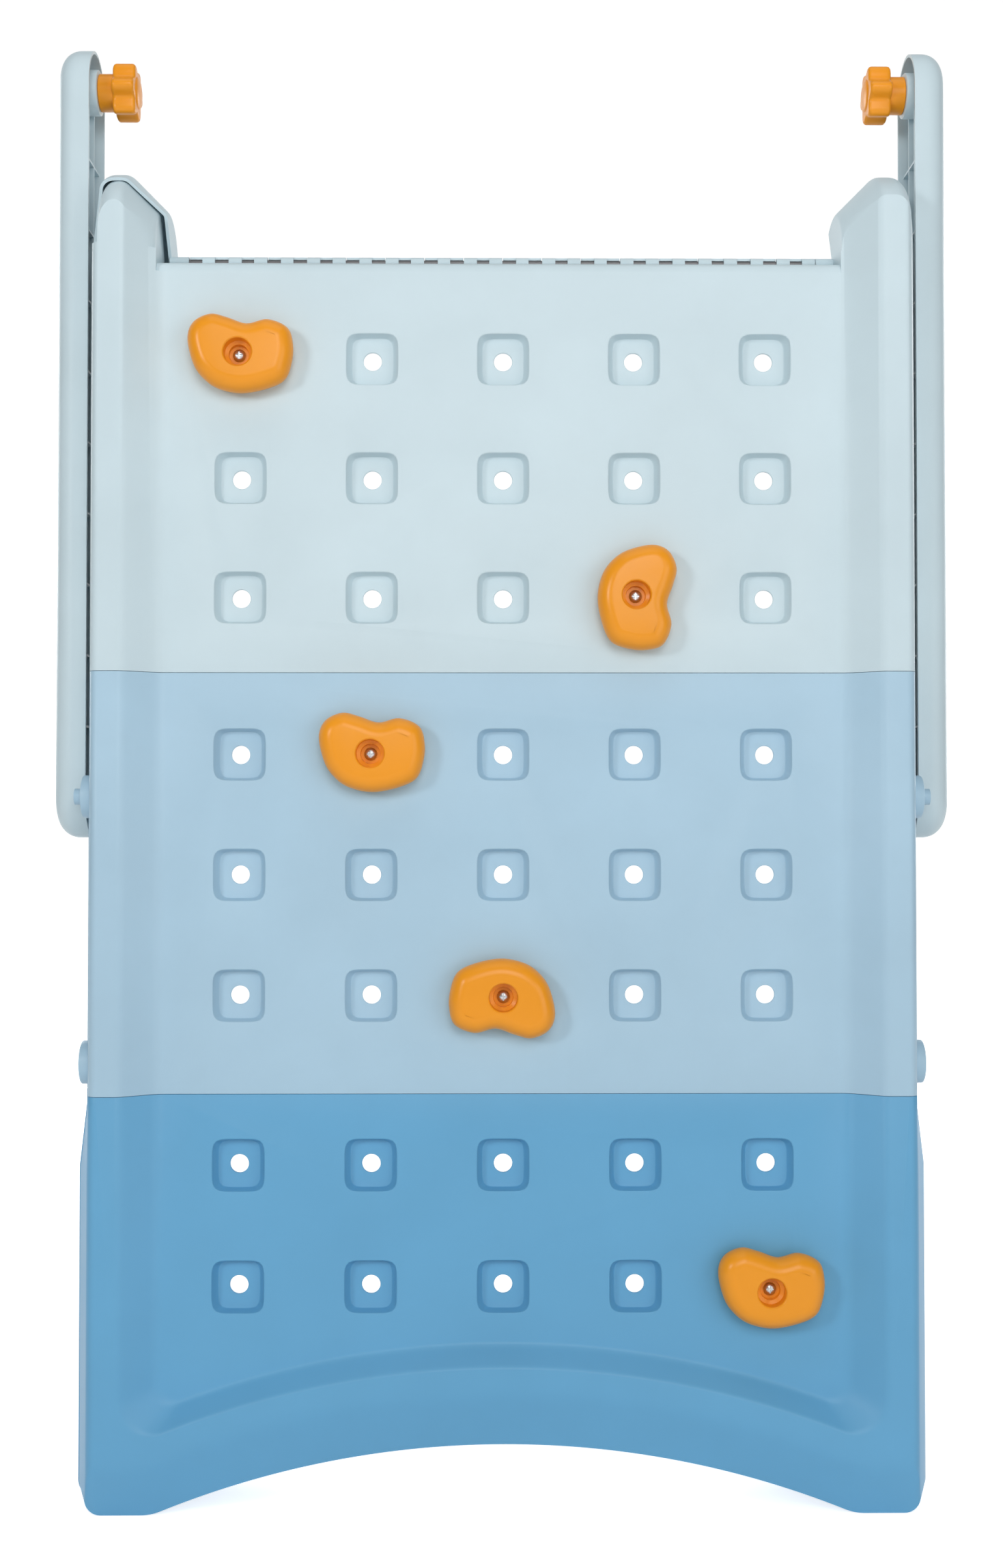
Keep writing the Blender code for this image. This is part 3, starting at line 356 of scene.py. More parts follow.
def foot_block(name, node):
    """Outer body of a bottom moulding, before its face is sunk."""
    low, high = wall_box(node)
    edge = arch_half(ARCH_CROWN, 0.0, FOOT_INNER, ARCH_RADIUS)
    skirt = arch_half(SKIRT_CROWN, SKIRT_SIDE, SKIRT_REACH, ARCH_RADIUS)
    lips = (low.x + FLARE, high.x - FLARE)
    loops = []
    for depth, inset, share in rim_levels():
        halves = []
        for lip in lips:
            sign = 1 if lip > 0 else -1
            half = [(x0 + (x1 - x0) * share, z0 + (z1 - z0) * share) for (x0, z0), (x1, z1) in zip(edge, skirt)]
            foot_z = half[-1][1]
            out = abs(side_at(lip, depth, inset))
            flare = FLARE * (1 - depth / DEPTH)
            corner = FOOT_CORNER * max(1 - share, 0.0) + 0.004 * min(share, 1.0)
            half += arc((out + flare - corner, foot_z + corner), corner, -pi / 2, 0, 8)
            half += [(out + flare * (1 - i / 4), FLARE_LOW + (FLARE_HIGH - FLARE_LOW) * i / 4) for i in range(5)]
            half.append((out, high.z))
            halves.append([(sign * x, -depth, z) for x, z in half])
        loops.append(halves[0][:0:-1] + halves[1])
    return lofted(name, loops)


def face_pocket(name, low_end):
    """The sunk climbing face with its sloping border, soft at the rim and at the foot of the slope."""
    top = 1.70
    if low_end is None:
        outer = pocket_half(POCKET_CROWN, POCKET_RADIUS, SLOPE_OUTER, POCKET_CORNER)
        inner = pocket_half(FACE_CROWN, FACE_RADIUS, SLOPE_INNER, FACE_CORNER)
    else:
        outer, inner = [(SLOPE_OUTER, low_end)], [(SLOPE_INNER, low_end)]
    outer.append((SLOPE_OUTER, top))
    inner.append((SLOPE_INNER, top))
    sunk = DEPTH - FACE_DEPTH
    profile = soft_corner((-0.20, FACE_DEPTH), (0.0, FACE_DEPTH), (0.20, FACE_DEPTH + 0.20 * sunk), 6)
    profile += soft_corner((0.86, DEPTH - 0.14 * sunk), (1.0, DEPTH), (1.14, DEPTH), 6)
    profile.append((1.14, DEPTH + REACH))
    loops = []
    for share, depth in profile:
        half = [(x0 + (x1 - x0) * share, -depth, z0 + (z1 - z0) * share) for (x0, z0), (x1, z1) in zip(inner, outer)]
        left = [(-x, y, z) for x, y, z in half if x > 1e-6]
        loops.append(left[::-1] + half)
    return lofted(name, loops)


def hollow(piece, openings):
    """Takes away the faces that lie open and gives what is left one wall thickness inwards."""
    select_where(piece, "FACE", openings)
    bpy.ops.mesh.delete(type="FACE")
    bpy.ops.object.mode_set(mode="OBJECT")
    step = piece.modifiers.new("wall", "SOLIDIFY")
    step.thickness = WALL
    step.offset = -1
    finish_step(piece, step)


def lies_at_lip(face):
    return face.normal.y > 0.99 and all(abs(vertex.co.y + LIP) < 1e-5 for vertex in face.verts)


def soften_seams(piece, heights):
    """Rounds the edges where one moulding meets the next."""
    def at_seam(edge):
        return any(all(abs(vertex.co.z - height) < 1e-5 for vertex in edge.verts) for height in heights)
    select_where(piece, "EDGE", at_seam)
    bpy.ops.mesh.bevel(offset=0.0007, segments=2, affect="EDGES", clamp_overlap=True)
    bpy.ops.object.mode_set(mode="OBJECT")


def frame_window(piece, low, high):
    """Cuts a round-cornered window through the face of the rear wall."""
    tool = block("window_tool", (-WINDOW_HALF, -DEPTH, low), (WINDOW_HALF, -0.02, high))
    select_where(tool, "EDGE", lambda edge: abs(edge.verts[0].co.y - edge.verts[1].co.y) > 0.01)
    bpy.ops.mesh.bevel(offset=WINDOW_CORNER, segments=8, affect="EDGES")
    bpy.ops.object.mode_set(mode="OBJECT")
    worked(piece, tool)


def moulded_plastic(name, colour, roughness=0.42):
    """Satin moulded plastic: faint clouding of the colour, a fine grain and slightly uneven gloss."""
    finish = bpy.data.materials.new(name)
    finish.use_nodes = True
    nodes, links = finish.node_tree.nodes, finish.node_tree.links
    shader = nodes["Principled BSDF"]
    shader.inputs["Specular IOR Level"].default_value = 0.35
    place = nodes.new("ShaderNodeTexCoord")
    cloud = nodes.new("ShaderNodeTexNoise")
    cloud.inputs["Scale"].default_value = 7
    cloud.inputs["Detail"].default_value = 4
    tint = nodes.new("ShaderNodeValToRGB")
    tint.color_ramp.elements[0].position = 0.30
    tint.color_ramp.elements[0].color = (*(c * 0.965 for c in colour), 1)
    tint.color_ramp.elements[1].position = 0.70
    tint.color_ramp.elements[1].color = (*(min(c * 1.03, 1) for c in colour), 1)
    grain = nodes.new("ShaderNodeTexNoise")
    grain.inputs["Scale"].default_value = 1400
    grain.inputs["Detail"].default_value = 2
    waves = nodes.new("ShaderNodeTexNoise")
    waves.inputs["Scale"].default_value = 16
    waves.inputs["Detail"].default_value = 2
    waves_bump = nodes.new("ShaderNodeBump")
    waves_bump.inputs["Strength"].default_value = 0.12
    waves_bump.inputs["Distance"].default_value = 0.002
    grain_bump = nodes.new("ShaderNodeBump")
    grain_bump.inputs["Strength"].default_value = 0.10
    grain_bump.inputs["Distance"].default_value = 0.0003
    gloss = nodes.new("ShaderNodeMapRange")
    gloss.inputs["To Min"].default_value = roughness - 0.05
    gloss.inputs["To Max"].default_value = roughness + 0.07
    for texture in (cloud, grain, waves):
        links.new(place.outputs["Object"], texture.inputs["Vector"])
    links.new(cloud.outputs["Fac"], tint.inputs["Fac"])
    links.new(tint.outputs["Color"], shader.inputs["Base Color"])
    links.new(cloud.outputs["Fac"], gloss.inputs["Value"])
    links.new(gloss.outputs["Result"], shader.inputs["Roughness"])
    links.new(waves.outputs["Fac"], waves_bump.inputs["Height"])
    links.new(grain.outputs["Fac"], grain_bump.inputs["Height"])
    links.new(waves_bump.outputs["Normal"], grain_bump.inputs["Normal"])
    links.new(grain_bump.outputs["Normal"], shader.inputs["Normal"])
    return finish


def set_in_place(piece, node, finish):
    """Turns a rear wall piece round to its own side, then gives any piece its finish and its body."""
    body = frame["nodes"][node]["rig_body"]
    if node.startswith("rear"):
        take(piece)
        piece.rotation_euler.z = pi
        bpy.ops.object.transform_apply(location=True, rotation=True, scale=True)
    take(piece)
    bpy.ops.object.shade_smooth_by_angle(angle=SMOOTH_ANGLE)
    piece.data.materials.clear()
    piece.data.materials.append(finish)
    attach(piece, body)
    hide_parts(node)


deep_blue = moulded_plastic("deep_blue_plastic", (0.13, 0.38, 0.61))

rear_low, rear_high = wall_box("rear_bottom")
rear_foot = foot_block("rear_bottom_moulding", "rear_bottom")
worked(rear_foot, face_pocket("pocket_tool", None))
hollow(rear_foot, lies_at_lip)
soften_seams(rear_foot, (rear_high.z,))
frame_window(rear_foot, WINDOW_LOW, rear_high.z - RAIL)
set_in_place(rear_foot, "rear_bottom", deep_blue)

# Rear wall, middle moulding: the same frame in light blue, square at both ends. Two round bosses
# stand on each side wall: the upper ones carry the arms' pivot pins, the lower ones are open.

BOSS_SET_BACK = 0.037
BOSS_RADIUS = 0.0245
BOSS_FACE = 0.480
BOSS_LENGTH = 0.0172
BOSS_HEIGHTS = ((0.8065, 0.0083), (0.5035, 0.0223))
RELIEF_HALF_WIDTH = 0.0345


def wall_block(name, low, high, lips):
    """Outer body of a straight moulding, before its face is sunk."""
    loops = []
    for depth, inset, _ in rim_levels():
        left, right = side_at(lips[0], depth, inset), side_at(lips[1], depth, inset)
        loops.append([(left, -depth, low), (right, -depth, low), (right, -depth, high), (left, -depth, high)])
    return lofted(name, loops)


def turned(name, axis, centre, stations, sides=64):
    """A round solid: a disc extruded along its axis from station to station and scaled at each one."""
    turns = {"X": (0, pi / 2, 0), "Y": (-pi / 2, 0, 0), "Z": (0, 0, 0)}
    along = {"X": Vector((1, 0, 0)), "Y": Vector((0, 1, 0)), "Z": Vector((0, 0, 1))}[axis]
    start, radius = stations[0]
    bpy.ops.mesh.primitive_circle_add(
        vertices=sides, radius=radius, fill_type="NGON", location=Vector(centre) + along * start, rotation=turns[axis])
    piece = bpy.context.object
    piece.name = name
    bpy.ops.object.transform_apply(location=True, rotation=True, scale=True)
    bpy.ops.object.mode_set(mode="EDIT")
    bpy.ops.mesh.select_mode(type="FACE")
    bpy.ops.mesh.select_all(action="SELECT")
    for place, wider in stations[1:]:
        bpy.ops.mesh.extrude_region_move(TRANSFORM_OT_translate={"value": along * (place - start)})
        ratio = wider / radius
        scale = [1 if along[i] else ratio for i in range(3)]
        bpy.ops.transform.resize(value=scale, center_override=Vector(centre) + along * place)
        start, radius = place, wider
    bpy.ops.mesh.select_all(action="SELECT")
    bpy.ops.mesh.normals_make_consistent(inside=False)
    bpy.ops.object.mode_set(mode="OBJECT")
    return piece


def side_bosses(piece):
    """Adds the four bosses, soft at their outer edge, and bores them through."""
    bosses, bores = [], []
    edge = 0.0015
    for height, bore in BOSS_HEIGHTS:
        for side in (-1, 1):
            centre = (0, -BOSS_SET_BACK, height)
            face, root = side * BOSS_FACE, side * (BOSS_FACE - BOSS_LENGTH)
            bosses.append(turned("boss", "X", centre, [
                (root, BOSS_RADIUS), (face - side * edge, BOSS_RADIUS),
                (face - side * edge * 0.3, BOSS_RADIUS - edge * 0.3), (face, BOSS_RADIUS - edge)]))
            bores.append(turned("bore", "X", centre, [
                (root - side * 0.01, bore), (face - side * edge * 0.6, bore), (face, bore + edge * 0.6),
                (face + side * 0.01, bore + edge * 0.6)]))
    worked(piece, together("bosses", bosses), "UNION")
    worked(piece, together("bores", bores))


def knob_room(piece, low):
    """Notches the end wall above the lower seam, where the knobs sit once the arms are locked."""
    tools = []
    for side in (-1, 1):
        ends = sorted((side * (SLOPE_OUTER - 0.0005), side * (BOSS_FACE - BOSS_LENGTH - 0.0005)))
        tools.append(block("relief", (ends[0], -BOSS_SET_BACK - RELIEF_HALF_WIDTH, low - REACH), (ends[1], REACH, low + WALL + 0.0015)))
    worked(piece, together("reliefs", tools))


light_blue = moulded_plastic("light_blue_plastic", (0.40, 0.58, 0.71))


def middle_moulding(node):
    low, high = wall_box(node)
    lips = wall_box(node.replace("middle", "top"))
    piece = wall_block(node + "_moulding", low.z, high.z, (lips[0].x, lips[1].x))
    worked(piece, face_pocket("pocket_tool", low.z - REACH))
    return piece


rear_low, rear_high = wall_box("rear_middle")
rear_middle = middle_moulding("rear_middle")
hollow(rear_middle, lies_at_lip)
soften_seams(rear_middle, (rear_low.z, rear_high.z))
frame_window(rear_middle, rear_low.z + RAIL, rear_high.z - RAIL)
side_bosses(rear_middle)
knob_room(rear_middle, rear_low.z)
set_in_place(rear_middle, "rear_middle", light_blue)

# Rear wall, top moulding: pale blue. Its right ear is a large hood that wraps over the hinge,
# its left ear a smaller one that turns inside the other wall's hood. Knuckles with windows
# front and back alternate with the other wall's along the rod.

HINGE = 1.434
EAR_RADIUS = 0.098
EAR_INNER = 0.388
EAR_INNER_RADIUS = 0.0555
EAR_CROWN_INNER = 0.4315
EAR_CROWN_OUTER = 0.447
EAR_ROUND = 0.016
EAR_BEND = 0.003
EAR_WRAP = radians(32.5)
EAR_NEST = 0.0045
EAR_NEST_SIDE = 0.0055
EAR_CROWN_NEST = 0.003
SMALL_EAR_END = radians(80)
BARREL = 0.0065
ROD = 0.0032
ROD_BORE = 0.0037
LEDGE_CLEARANCE = 0.0013
LEDGE_DROP = 0.014
KNUCKLES = 16
KNUCKLE_PITCH = 0.0459
KNUCKLE_GAP = 0.0008
KNUCKLE_MIDDLE = 0.0145
WINDOW_TOP = 1.352


def extruded(name, outline, x0, x1):
    """A (y, z) outline run along X."""
    return lofted(name, [[(x, y, z) for y, z in outline] for x in (x0, x1)])


def ear_form(name, large, lips):
    """The round form that an ear is cut to, turned about the hinge."""
    nest, side_nest = (0.0, 0.0) if large else (EAR_NEST, EAR_NEST_SIDE)
    inner = EAR_INNER + 2 * nest
    radius = EAR_RADIUS - nest
    sign = 1 if large else -1
    lip = abs(lips[1] if large else lips[0])
    outer_at = lambda r: lip + (RIM_HALF - lip) * r / DEPTH - side_nest
    start, end = EAR_CROWN_OUTER - side_nest, outer_at(radius - EAR_ROUND)
    foot = EAR_INNER_RADIUS
    bend = EAR_BEND
    stations = [(inner, 0.002), (inner + 0.0008, foot - 4 * bend)]
    stations += soft_corner((inner + 0.001, foot - bend), (inner + 0.001, foot), (inner + 0.001 + bend, foot + bend), 4)
    crown = EAR_CROWN_INNER + (0.0 if large else EAR_CROWN_NEST)
    stations += soft_corner((crown - 1.5 * bend, radius - 1.5 * bend), (crown, radius), (crown + 2 * bend, radius), 6)
    stations += [(start + (end - start) * sin(a), radius - EAR_ROUND * (1 - cos(a))) for a in (pi / 2 * i / 8 for i in range(9))]
    stations.append((outer_at(0.004), 0.004))
    return turned(name, "X", (0, 0, HINGE), [(sign * x, r) for x, r in stations], 128)


def wedge(name, start, end, x0, x1):
    """A slice between two planes through the hinge, its angles counted from the wall's front upwards."""
    angles = [start + (end - start) * i / 3 for i in range(4)]
    points = [(0.0, HINGE)] + [(-0.3 * cos(a), HINGE + 0.3 * sin(a)) for a in angles]
    return extruded(name, points, x0, x1)


def ledge_room():
    """Side view of the room above the ledge, which rolls back from the face's top edge to the hinge."""
    top = HINGE - LEDGE_DROP
    lip = BARREL + LEDGE_CLEARANCE
    crest = HINGE - BARREL * 0.5
    foot = HINGE - BARREL - 0.002
    rolled = soft_corner((-FACE_DEPTH, top - 0.012), (-FACE_DEPTH, top), (-FACE_DEPTH + 0.014, top + 0.0012), 8)
    high = HINGE + 0.3
    outline = [(-DEPTH - REACH, top - 0.012)] + rolled
    outline += [(-lip - 0.005, crest - 0.001), (-lip - 0.0015, crest - 0.0012), (-lip, crest - 0.003), (-lip, foot)]
    return outline + [(REACH, foot), (REACH, high), (-DEPTH - REACH, high)]


def knuckle_row():
    """The wall's own knuckles and end block, with the windows that show the rod."""
    start = -KNUCKLES * KNUCKLE_PITCH / 2
    width = KNUCKLE_PITCH - KNUCKLE_GAP
    side = (width - KNUCKLE_MIDDLE) / 2
    lip = BARREL + LEDGE_CLEARANCE
    low = HINGE - BARREL - 0.0040
    barrel = [(y, HINGE + z) for y, z in arc((0, 0), BARREL, radians(-100), radians(205), 30)]
    outline = barrel + [(-lip - 0.002, HINGE - BARREL - 0.0005), (-lip - 0.002, low), (-0.0012, low)]
    knuckles, windows = [], []
    edge, far = 0.0015, BARREL + 0.001
    for i in range(0, KNUCKLES, 2):
        x = start + i * KNUCKLE_PITCH + KNUCKLE_GAP / 2
        knuckles.append(extruded("knuckle", outline, x, x + width))
        windows.append(block("window", (x - edge, -far, HINGE - 0.0022), (x + side, -edge, HINGE + far)))
        windows.append(block("window", (x + width - side, -far, HINGE - 0.0022), (x + width + edge, -edge, HINGE + far)))
        windows.append(block("window", (x + side, edge, HINGE - far), (x + width - side, far, HINGE + far)))
    end = start + KNUCKLES * KNUCKLE_PITCH + KNUCKLE_GAP / 2
    knuckles.append(extruded("end_block", outline, end, EAR_INNER + WALL / 2))
    windows.append(turned("rod_bore", "X", (0, 0, HINGE), [(start - 0.01, ROD_BORE), (EAR_INNER - 0.004, ROD_BORE)], 32))
    return together("knuckles", knuckles), windows


def top_moulding(node):
    """The solid form of a top moulding with its ears, before it is hollowed."""
    low, high = wall_box(node)
    lips = (low.x, high.x)
    top = HINGE + 1.2 * EAR_RADIUS
    piece = wall_block(node + "_moulding", low.z, top, lips)
    far = SLOPE_OUTER + 0.09
    worked(piece, block("hood", (EAR_INNER - 0.008, -0.004, HINGE), (far, 1.2 * EAR_RADIUS, top)), "UNION")
    for large in (True, False):
        sign = 1 if large else -1
        ends = sorted((sign * (EAR_INNER - 0.012), sign * (far + 0.01)))
        spare = block("spare", (ends[0], -DEPTH - REACH, HINGE), (ends[1], 1.5 * EAR_RADIUS, top + REACH))
        worked(spare, ear_form("ear_form", large, lips))
        worked(piece, spare)
    worked(piece, wedge("small_end", SMALL_EAR_END, pi, -far, -EAR_INNER + 0.004))
    worked(piece, wedge("hood_end", pi / 2 + EAR_WRAP, pi + 0.4, EAR_INNER - 0.010, far + 0.01))
    worked(piece, face_pocket("pocket_tool", low.z - REACH))
    worked(piece, extruded("ledge_tool", ledge_room(), -EAR_INNER - 2 * EAR_NEST, EAR_INNER))
    return piece


def lies_open(face):
    """The lip, the hood's far end with the strip under it, and the small ear's end."""
    if lies_at_lip(face):
        return True
    if face.normal.z < -0.99 and all(abs(v.co.z - HINGE) < 1e-5 and v.co.y > -2 * LIP for v in face.verts):
        return True
    for angle in (SMALL_EAR_END, pi / 2 + EAR_WRAP):
        across = Vector((0, sin(angle), cos(angle)))
        if face.normal.dot(across) > 0.999 and all(abs((v.co - Vector((0, 0, HINGE))).dot(across)) < 1e-4 for v in face.verts):
            return True
    return False


def add_knuckles(piece):
    knuckles, windows = knuckle_row()
    worked(piece, knuckles, "UNION")
    for tool in windows[:-1]:
        tool.select_set(True)
    worked(piece, windows[-1])
    worked(piece, together("windows", windows[:-1]))


pale_blue = moulded_plastic("pale_blue_plastic", (0.58, 0.705, 0.755))

rear_low, rear_high = wall_box("rear_top")
rear_top = top_moulding("rear_top")
hollow(rear_top, lies_open)
soften_seams(rear_top, (rear_low.z,))
frame_window(rear_top, rear_low.z + RAIL, WINDOW_TOP)
add_knuckles(rear_top)
set_in_place(rear_top, "rear_top", pale_blue)

# Front wall: the same three mouldings with a closed climbing face. Rows of square seats are sunk
# in it, pillow sided and soft at the mouth, each with a bolt hole through its floor. Shallow ribs
# stiffen the back between the rows.

COLUMNS = [0.150 * i for i in (-2, -1, 0, 1, 2)]
ROW_PITCH = 0.137
ROWS = {"top": (1.3075, 3), "middle": (0.8543, 3), "bottom": (0.3887, 2)}
SEAT_HALF = 0.0293
SEAT_SINK = 0.013
SEAT_SIDE_TAPER = 0.0055
SEAT_END_TAPER = 0.0025
SEAT_MOUTH = 0.0016
SEAT_SQUARENESS = 5.4
BOLT_HOLE = 0.0105
RIB = 0.0026
RIB_DEPTH = 0.020


def pillow(y, half_x, half_z, points=56):
    """A square outline with full sides and round corners."""
    loop = []
    for i in range(points):
        angle = 2 * pi * (i + 0.5) / points
        c, s = cos(angle), sin(angle)
        r = (abs(c) ** SEAT_SQUARENESS + abs(s) ** SEAT_SQUARENESS) ** (-1 / SEAT_SQUARENESS)
        loop.append((half_x * r * c, y, half_z * r * s))
    return loop


def seat_tool():
    """Cuts one seat: soft mouth, leaning sides and a small round at the floor."""
    levels = [(-FACE_DEPTH - 0.01, -SEAT_MOUTH, 0.0)]
    for grow, sink in soft_corner((-SEAT_MOUTH, 0.0), (0.0, 0.0), (0.0, SEAT_MOUTH), 4):
        levels.append((-FACE_DEPTH + sink, grow, 0.0))
    levels.append((-FACE_DEPTH + SEAT_SINK - 0.0018, 0.0, 0.86))
    for share, sink in soft_corner((0.86, 0.0018), (1.0, 0.0), (1.18, 0.0), 4):
        levels.append((-FACE_DEPTH + SEAT_SINK - sink, 0.0, share))
    loops = []
    for y, grow, share in levels:
        loops.append(pillow(y, SEAT_HALF - grow - SEAT_SIDE_TAPER * share, SEAT_HALF - grow - SEAT_END_TAPER * share))
    return lofted("seat_tool", loops)


def copies(model, places):
    """Copies a tool to each place and throws the first one away."""
    made = []
    for place in places:
        twin = model.copy()
        twin.data = model.data.copy()
        bpy.context.scene.collection.objects.link(twin)
        twin.data.transform(Matrix.Translation(place))
        made.append(twin)
    bpy.data.objects.remove(model)
    return together("tools", made)


def row_heights(level):
    first, count = ROWS[level]
    return [first - ROW_PITCH * i for i in range(count)]


def sink_seats(piece, level):
    places = [(x, 0, z) for z in row_heights(level) for x in COLUMNS]
    worked(piece, copies(seat_tool(), places))


def pierce_seats(piece, level):
    """Bolt holes with a small soft edge, and the ribs behind the face."""
    places = [(x, 0, z) for z in row_heights(level) for x in COLUMNS]
    floor_y = -FACE_DEPTH + SEAT_SINK
    tool = turned("bolt_hole", "Y", (0, 0, 0), [
        (floor_y - 0.004, BOLT_HOLE + 0.0006), (floor_y, BOLT_HOLE + 0.0006), (floor_y + 0.0006, BOLT_HOLE), (floor_y + 0.01, BOLT_HOLE)], 40)
    worked(piece, copies(tool, places))
    heights = [z - ROW_PITCH / 2 for z in row_heights(level)[:-1]]
    back = -FACE_DEPTH + WALL
    ribs = [block("rib", (-SLOPE_INNER, back - WALL / 2, z - RIB / 2), (SLOPE_INNER, back + RIB_DEPTH, z + RIB / 2)) for z in heights]
    worked(piece, together("ribs", ribs), "UNION")


front_low, front_high = wall_box("front_bottom")
front_foot = foot_block("front_bottom_moulding", "front_bottom")
worked(front_foot, face_pocket("pocket_tool", None))
sink_seats(front_foot, "bottom")
hollow(front_foot, lies_at_lip)
soften_seams(front_foot, (front_high.z,))
pierce_seats(front_foot, "bottom")
set_in_place(front_foot, "front_bottom", deep_blue)

front_low, front_high = wall_box("front_middle")
front_middle = middle_moulding("front_middle")
sink_seats(front_middle, "middle")
hollow(front_middle, lies_at_lip)
soften_seams(front_middle, (front_low.z, front_high.z))
pierce_seats(front_middle, "middle")
side_bosses(front_middle)
knob_room(front_middle, front_low.z)
set_in_place(front_middle, "front_middle", light_blue)

front_low, front_high = wall_box("front_top")
front_top = top_moulding("front_top")
sink_seats(front_top, "top")
hollow(front_top, lies_open)
soften_seams(front_top, (front_low.z,))
pierce_seats(front_top, "top")
add_knuckles(front_top)
set_in_place(front_top, "front_top", pale_blue)

# Hinge rod: a rougher steel wire pushed through all the knuckles of both walls. It shows in the windows between them.
# Its colour is painted dark: painted shade for the shadow that falls on it inside the windows.

BRIGHT_STEEL = (0.56, 0.57, 0.58)
# The rod's steel colour is painted dark as painted shade for the shadow in the hinge windows. It is not the steel's own
# tone.
SHADED_ROD_COLOUR = (0.17, 0.17, 0.175)


def drawn_steel(name, shade, roughness):
    """Steel with faint drawn streaks."""
    finish = bpy.data.materials.new(name)
    finish.use_nodes = True
    nodes, links = finish.node_tree.nodes, finish.node_tree.links
    shader = nodes["Principled BSDF"]
    shader.inputs["Metallic"].default_value = 1.0
    place = nodes.new("ShaderNodeTexCoord")
    streaks = nodes.new("ShaderNodeTexNoise")
    streaks.inputs["Scale"].default_value = 300
    streaks.inputs["Detail"].default_value = 3
    tint = nodes.new("ShaderNodeValToRGB")
    tint.color_ramp.elements[0].color = (*(c * 0.8 for c in shade), 1)
    tint.color_ramp.elements[1].color = (*(c * 1.15 for c in shade), 1)
    gloss = nodes.new("ShaderNodeMapRange")
    gloss.inputs["To Min"].default_value = roughness - 0.09
    gloss.inputs["To Max"].default_value = roughness + 0.09
    links.new(place.outputs["Object"], streaks.inputs["Vector"])
    links.new(streaks.outputs["Fac"], tint.inputs["Fac"])
    links.new(tint.outputs["Color"], shader.inputs["Base Color"])
    links.new(streaks.outputs["Fac"], gloss.inputs["Value"])
    links.new(gloss.outputs["Result"], shader.inputs["Roughness"])
    return finish


steel = drawn_steel("plated_steel", BRIGHT_STEEL, 0.31)
# The rod's finish carries that painted shade. Its higher roughness is the wire's own duller gloss.
shaded_rod_steel = drawn_steel("shaded_rod_steel", SHADED_ROD_COLOUR, 0.45)

rod_low, rod_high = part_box("hinge_rod")
rod_edge = 0.0006
hinge_rod = turned("hinge_rod_wire", "X", (0, 0, HINGE), [
    (rod_low.x, ROD - rod_edge), (rod_low.x + rod_edge, ROD), (rod_high.x - rod_edge, ROD), (rod_high.x, ROD - rod_edge)], 32)
set_in_place(hinge_rod, "hinge_rod", shaded_rod_steel)

# Seam screws: pan headed, up through the end walls of two mouldings. They stay as the frame has
# them and only take a better finish.

for node_name, node in frame["nodes"].items():
    if "seam_screw" in node_name:
        node.data.materials.clear()
        node.data.materials.append(steel)

# Holds: solid orange plastic, kidney shaped with a notch between two lobes, rounded over to a
# nearly flat front. A square plug at the back keeps each from turning in its seat, and a bolt
# sits deep in a counterbore.

HOLD_PROUD = 0.034
HOLD_GAP = 0.0003
HOLD_OUTLINE = (
    (0.0612, 0.0120), (0.0549, 0.0313), (0.0325, 0.0406), (0.0090, 0.0357), (-0.0125, 0.0425), (-0.0321, 0.0467),
    (-0.0515, 0.0375), (-0.0585, 0.0186), (-0.0516, -0.0108), (-0.0389, -0.0283), (-0.0223, -0.0386),
    (0.0030, -0.0432), (0.0325, -0.0376), (0.0520, -0.0274), (0.0598, -0.0080),
)
COUNTERBORE = 0.016
COUNTERBORE_DEPTH = 0.022
BOLT = 0.004
BOLT_HEAD = 0.0073
PLUG_GAP = 0.0006
PLUG_DEPTH = 0.010
HOLD_PLACES = (
    ("top_left", COLUMNS[0], 1.3075, 0), ("top_right", COLUMNS[3], 1.0335, -90), ("middle_left", COLUMNS[1], 0.8543, 0),
    ("middle_low", COLUMNS[2], 0.5803, 180), ("bottom_right", COLUMNS[4], 0.2517, 0),
)


def smooth_loop(points, steps):
    """A closed smooth curve through points, with the outward direction at each place on it."""
    loop = []
    count = len(points)
    for i in range(count):
        before, here, after, beyond = (Vector(points[(i + k) % count]) for k in (-1, 0, 1, 2))
        for step in range(steps):
            t = step / steps
            bends = (2 * before - 5 * here + 4 * after - beyond) * t**2 + (3 * here - before - 3 * after + beyond) * t**3
            slope = after - before + 2 * (2 * before - 5 * here + 4 * after - beyond) * t + 3 * (3 * here - before - 3 * after + beyond) * t**2
            loop.append((0.5 * (2 * here + (after - before) * t + bends), Vector((slope.y, -slope.x)).normalized()))
    return loop


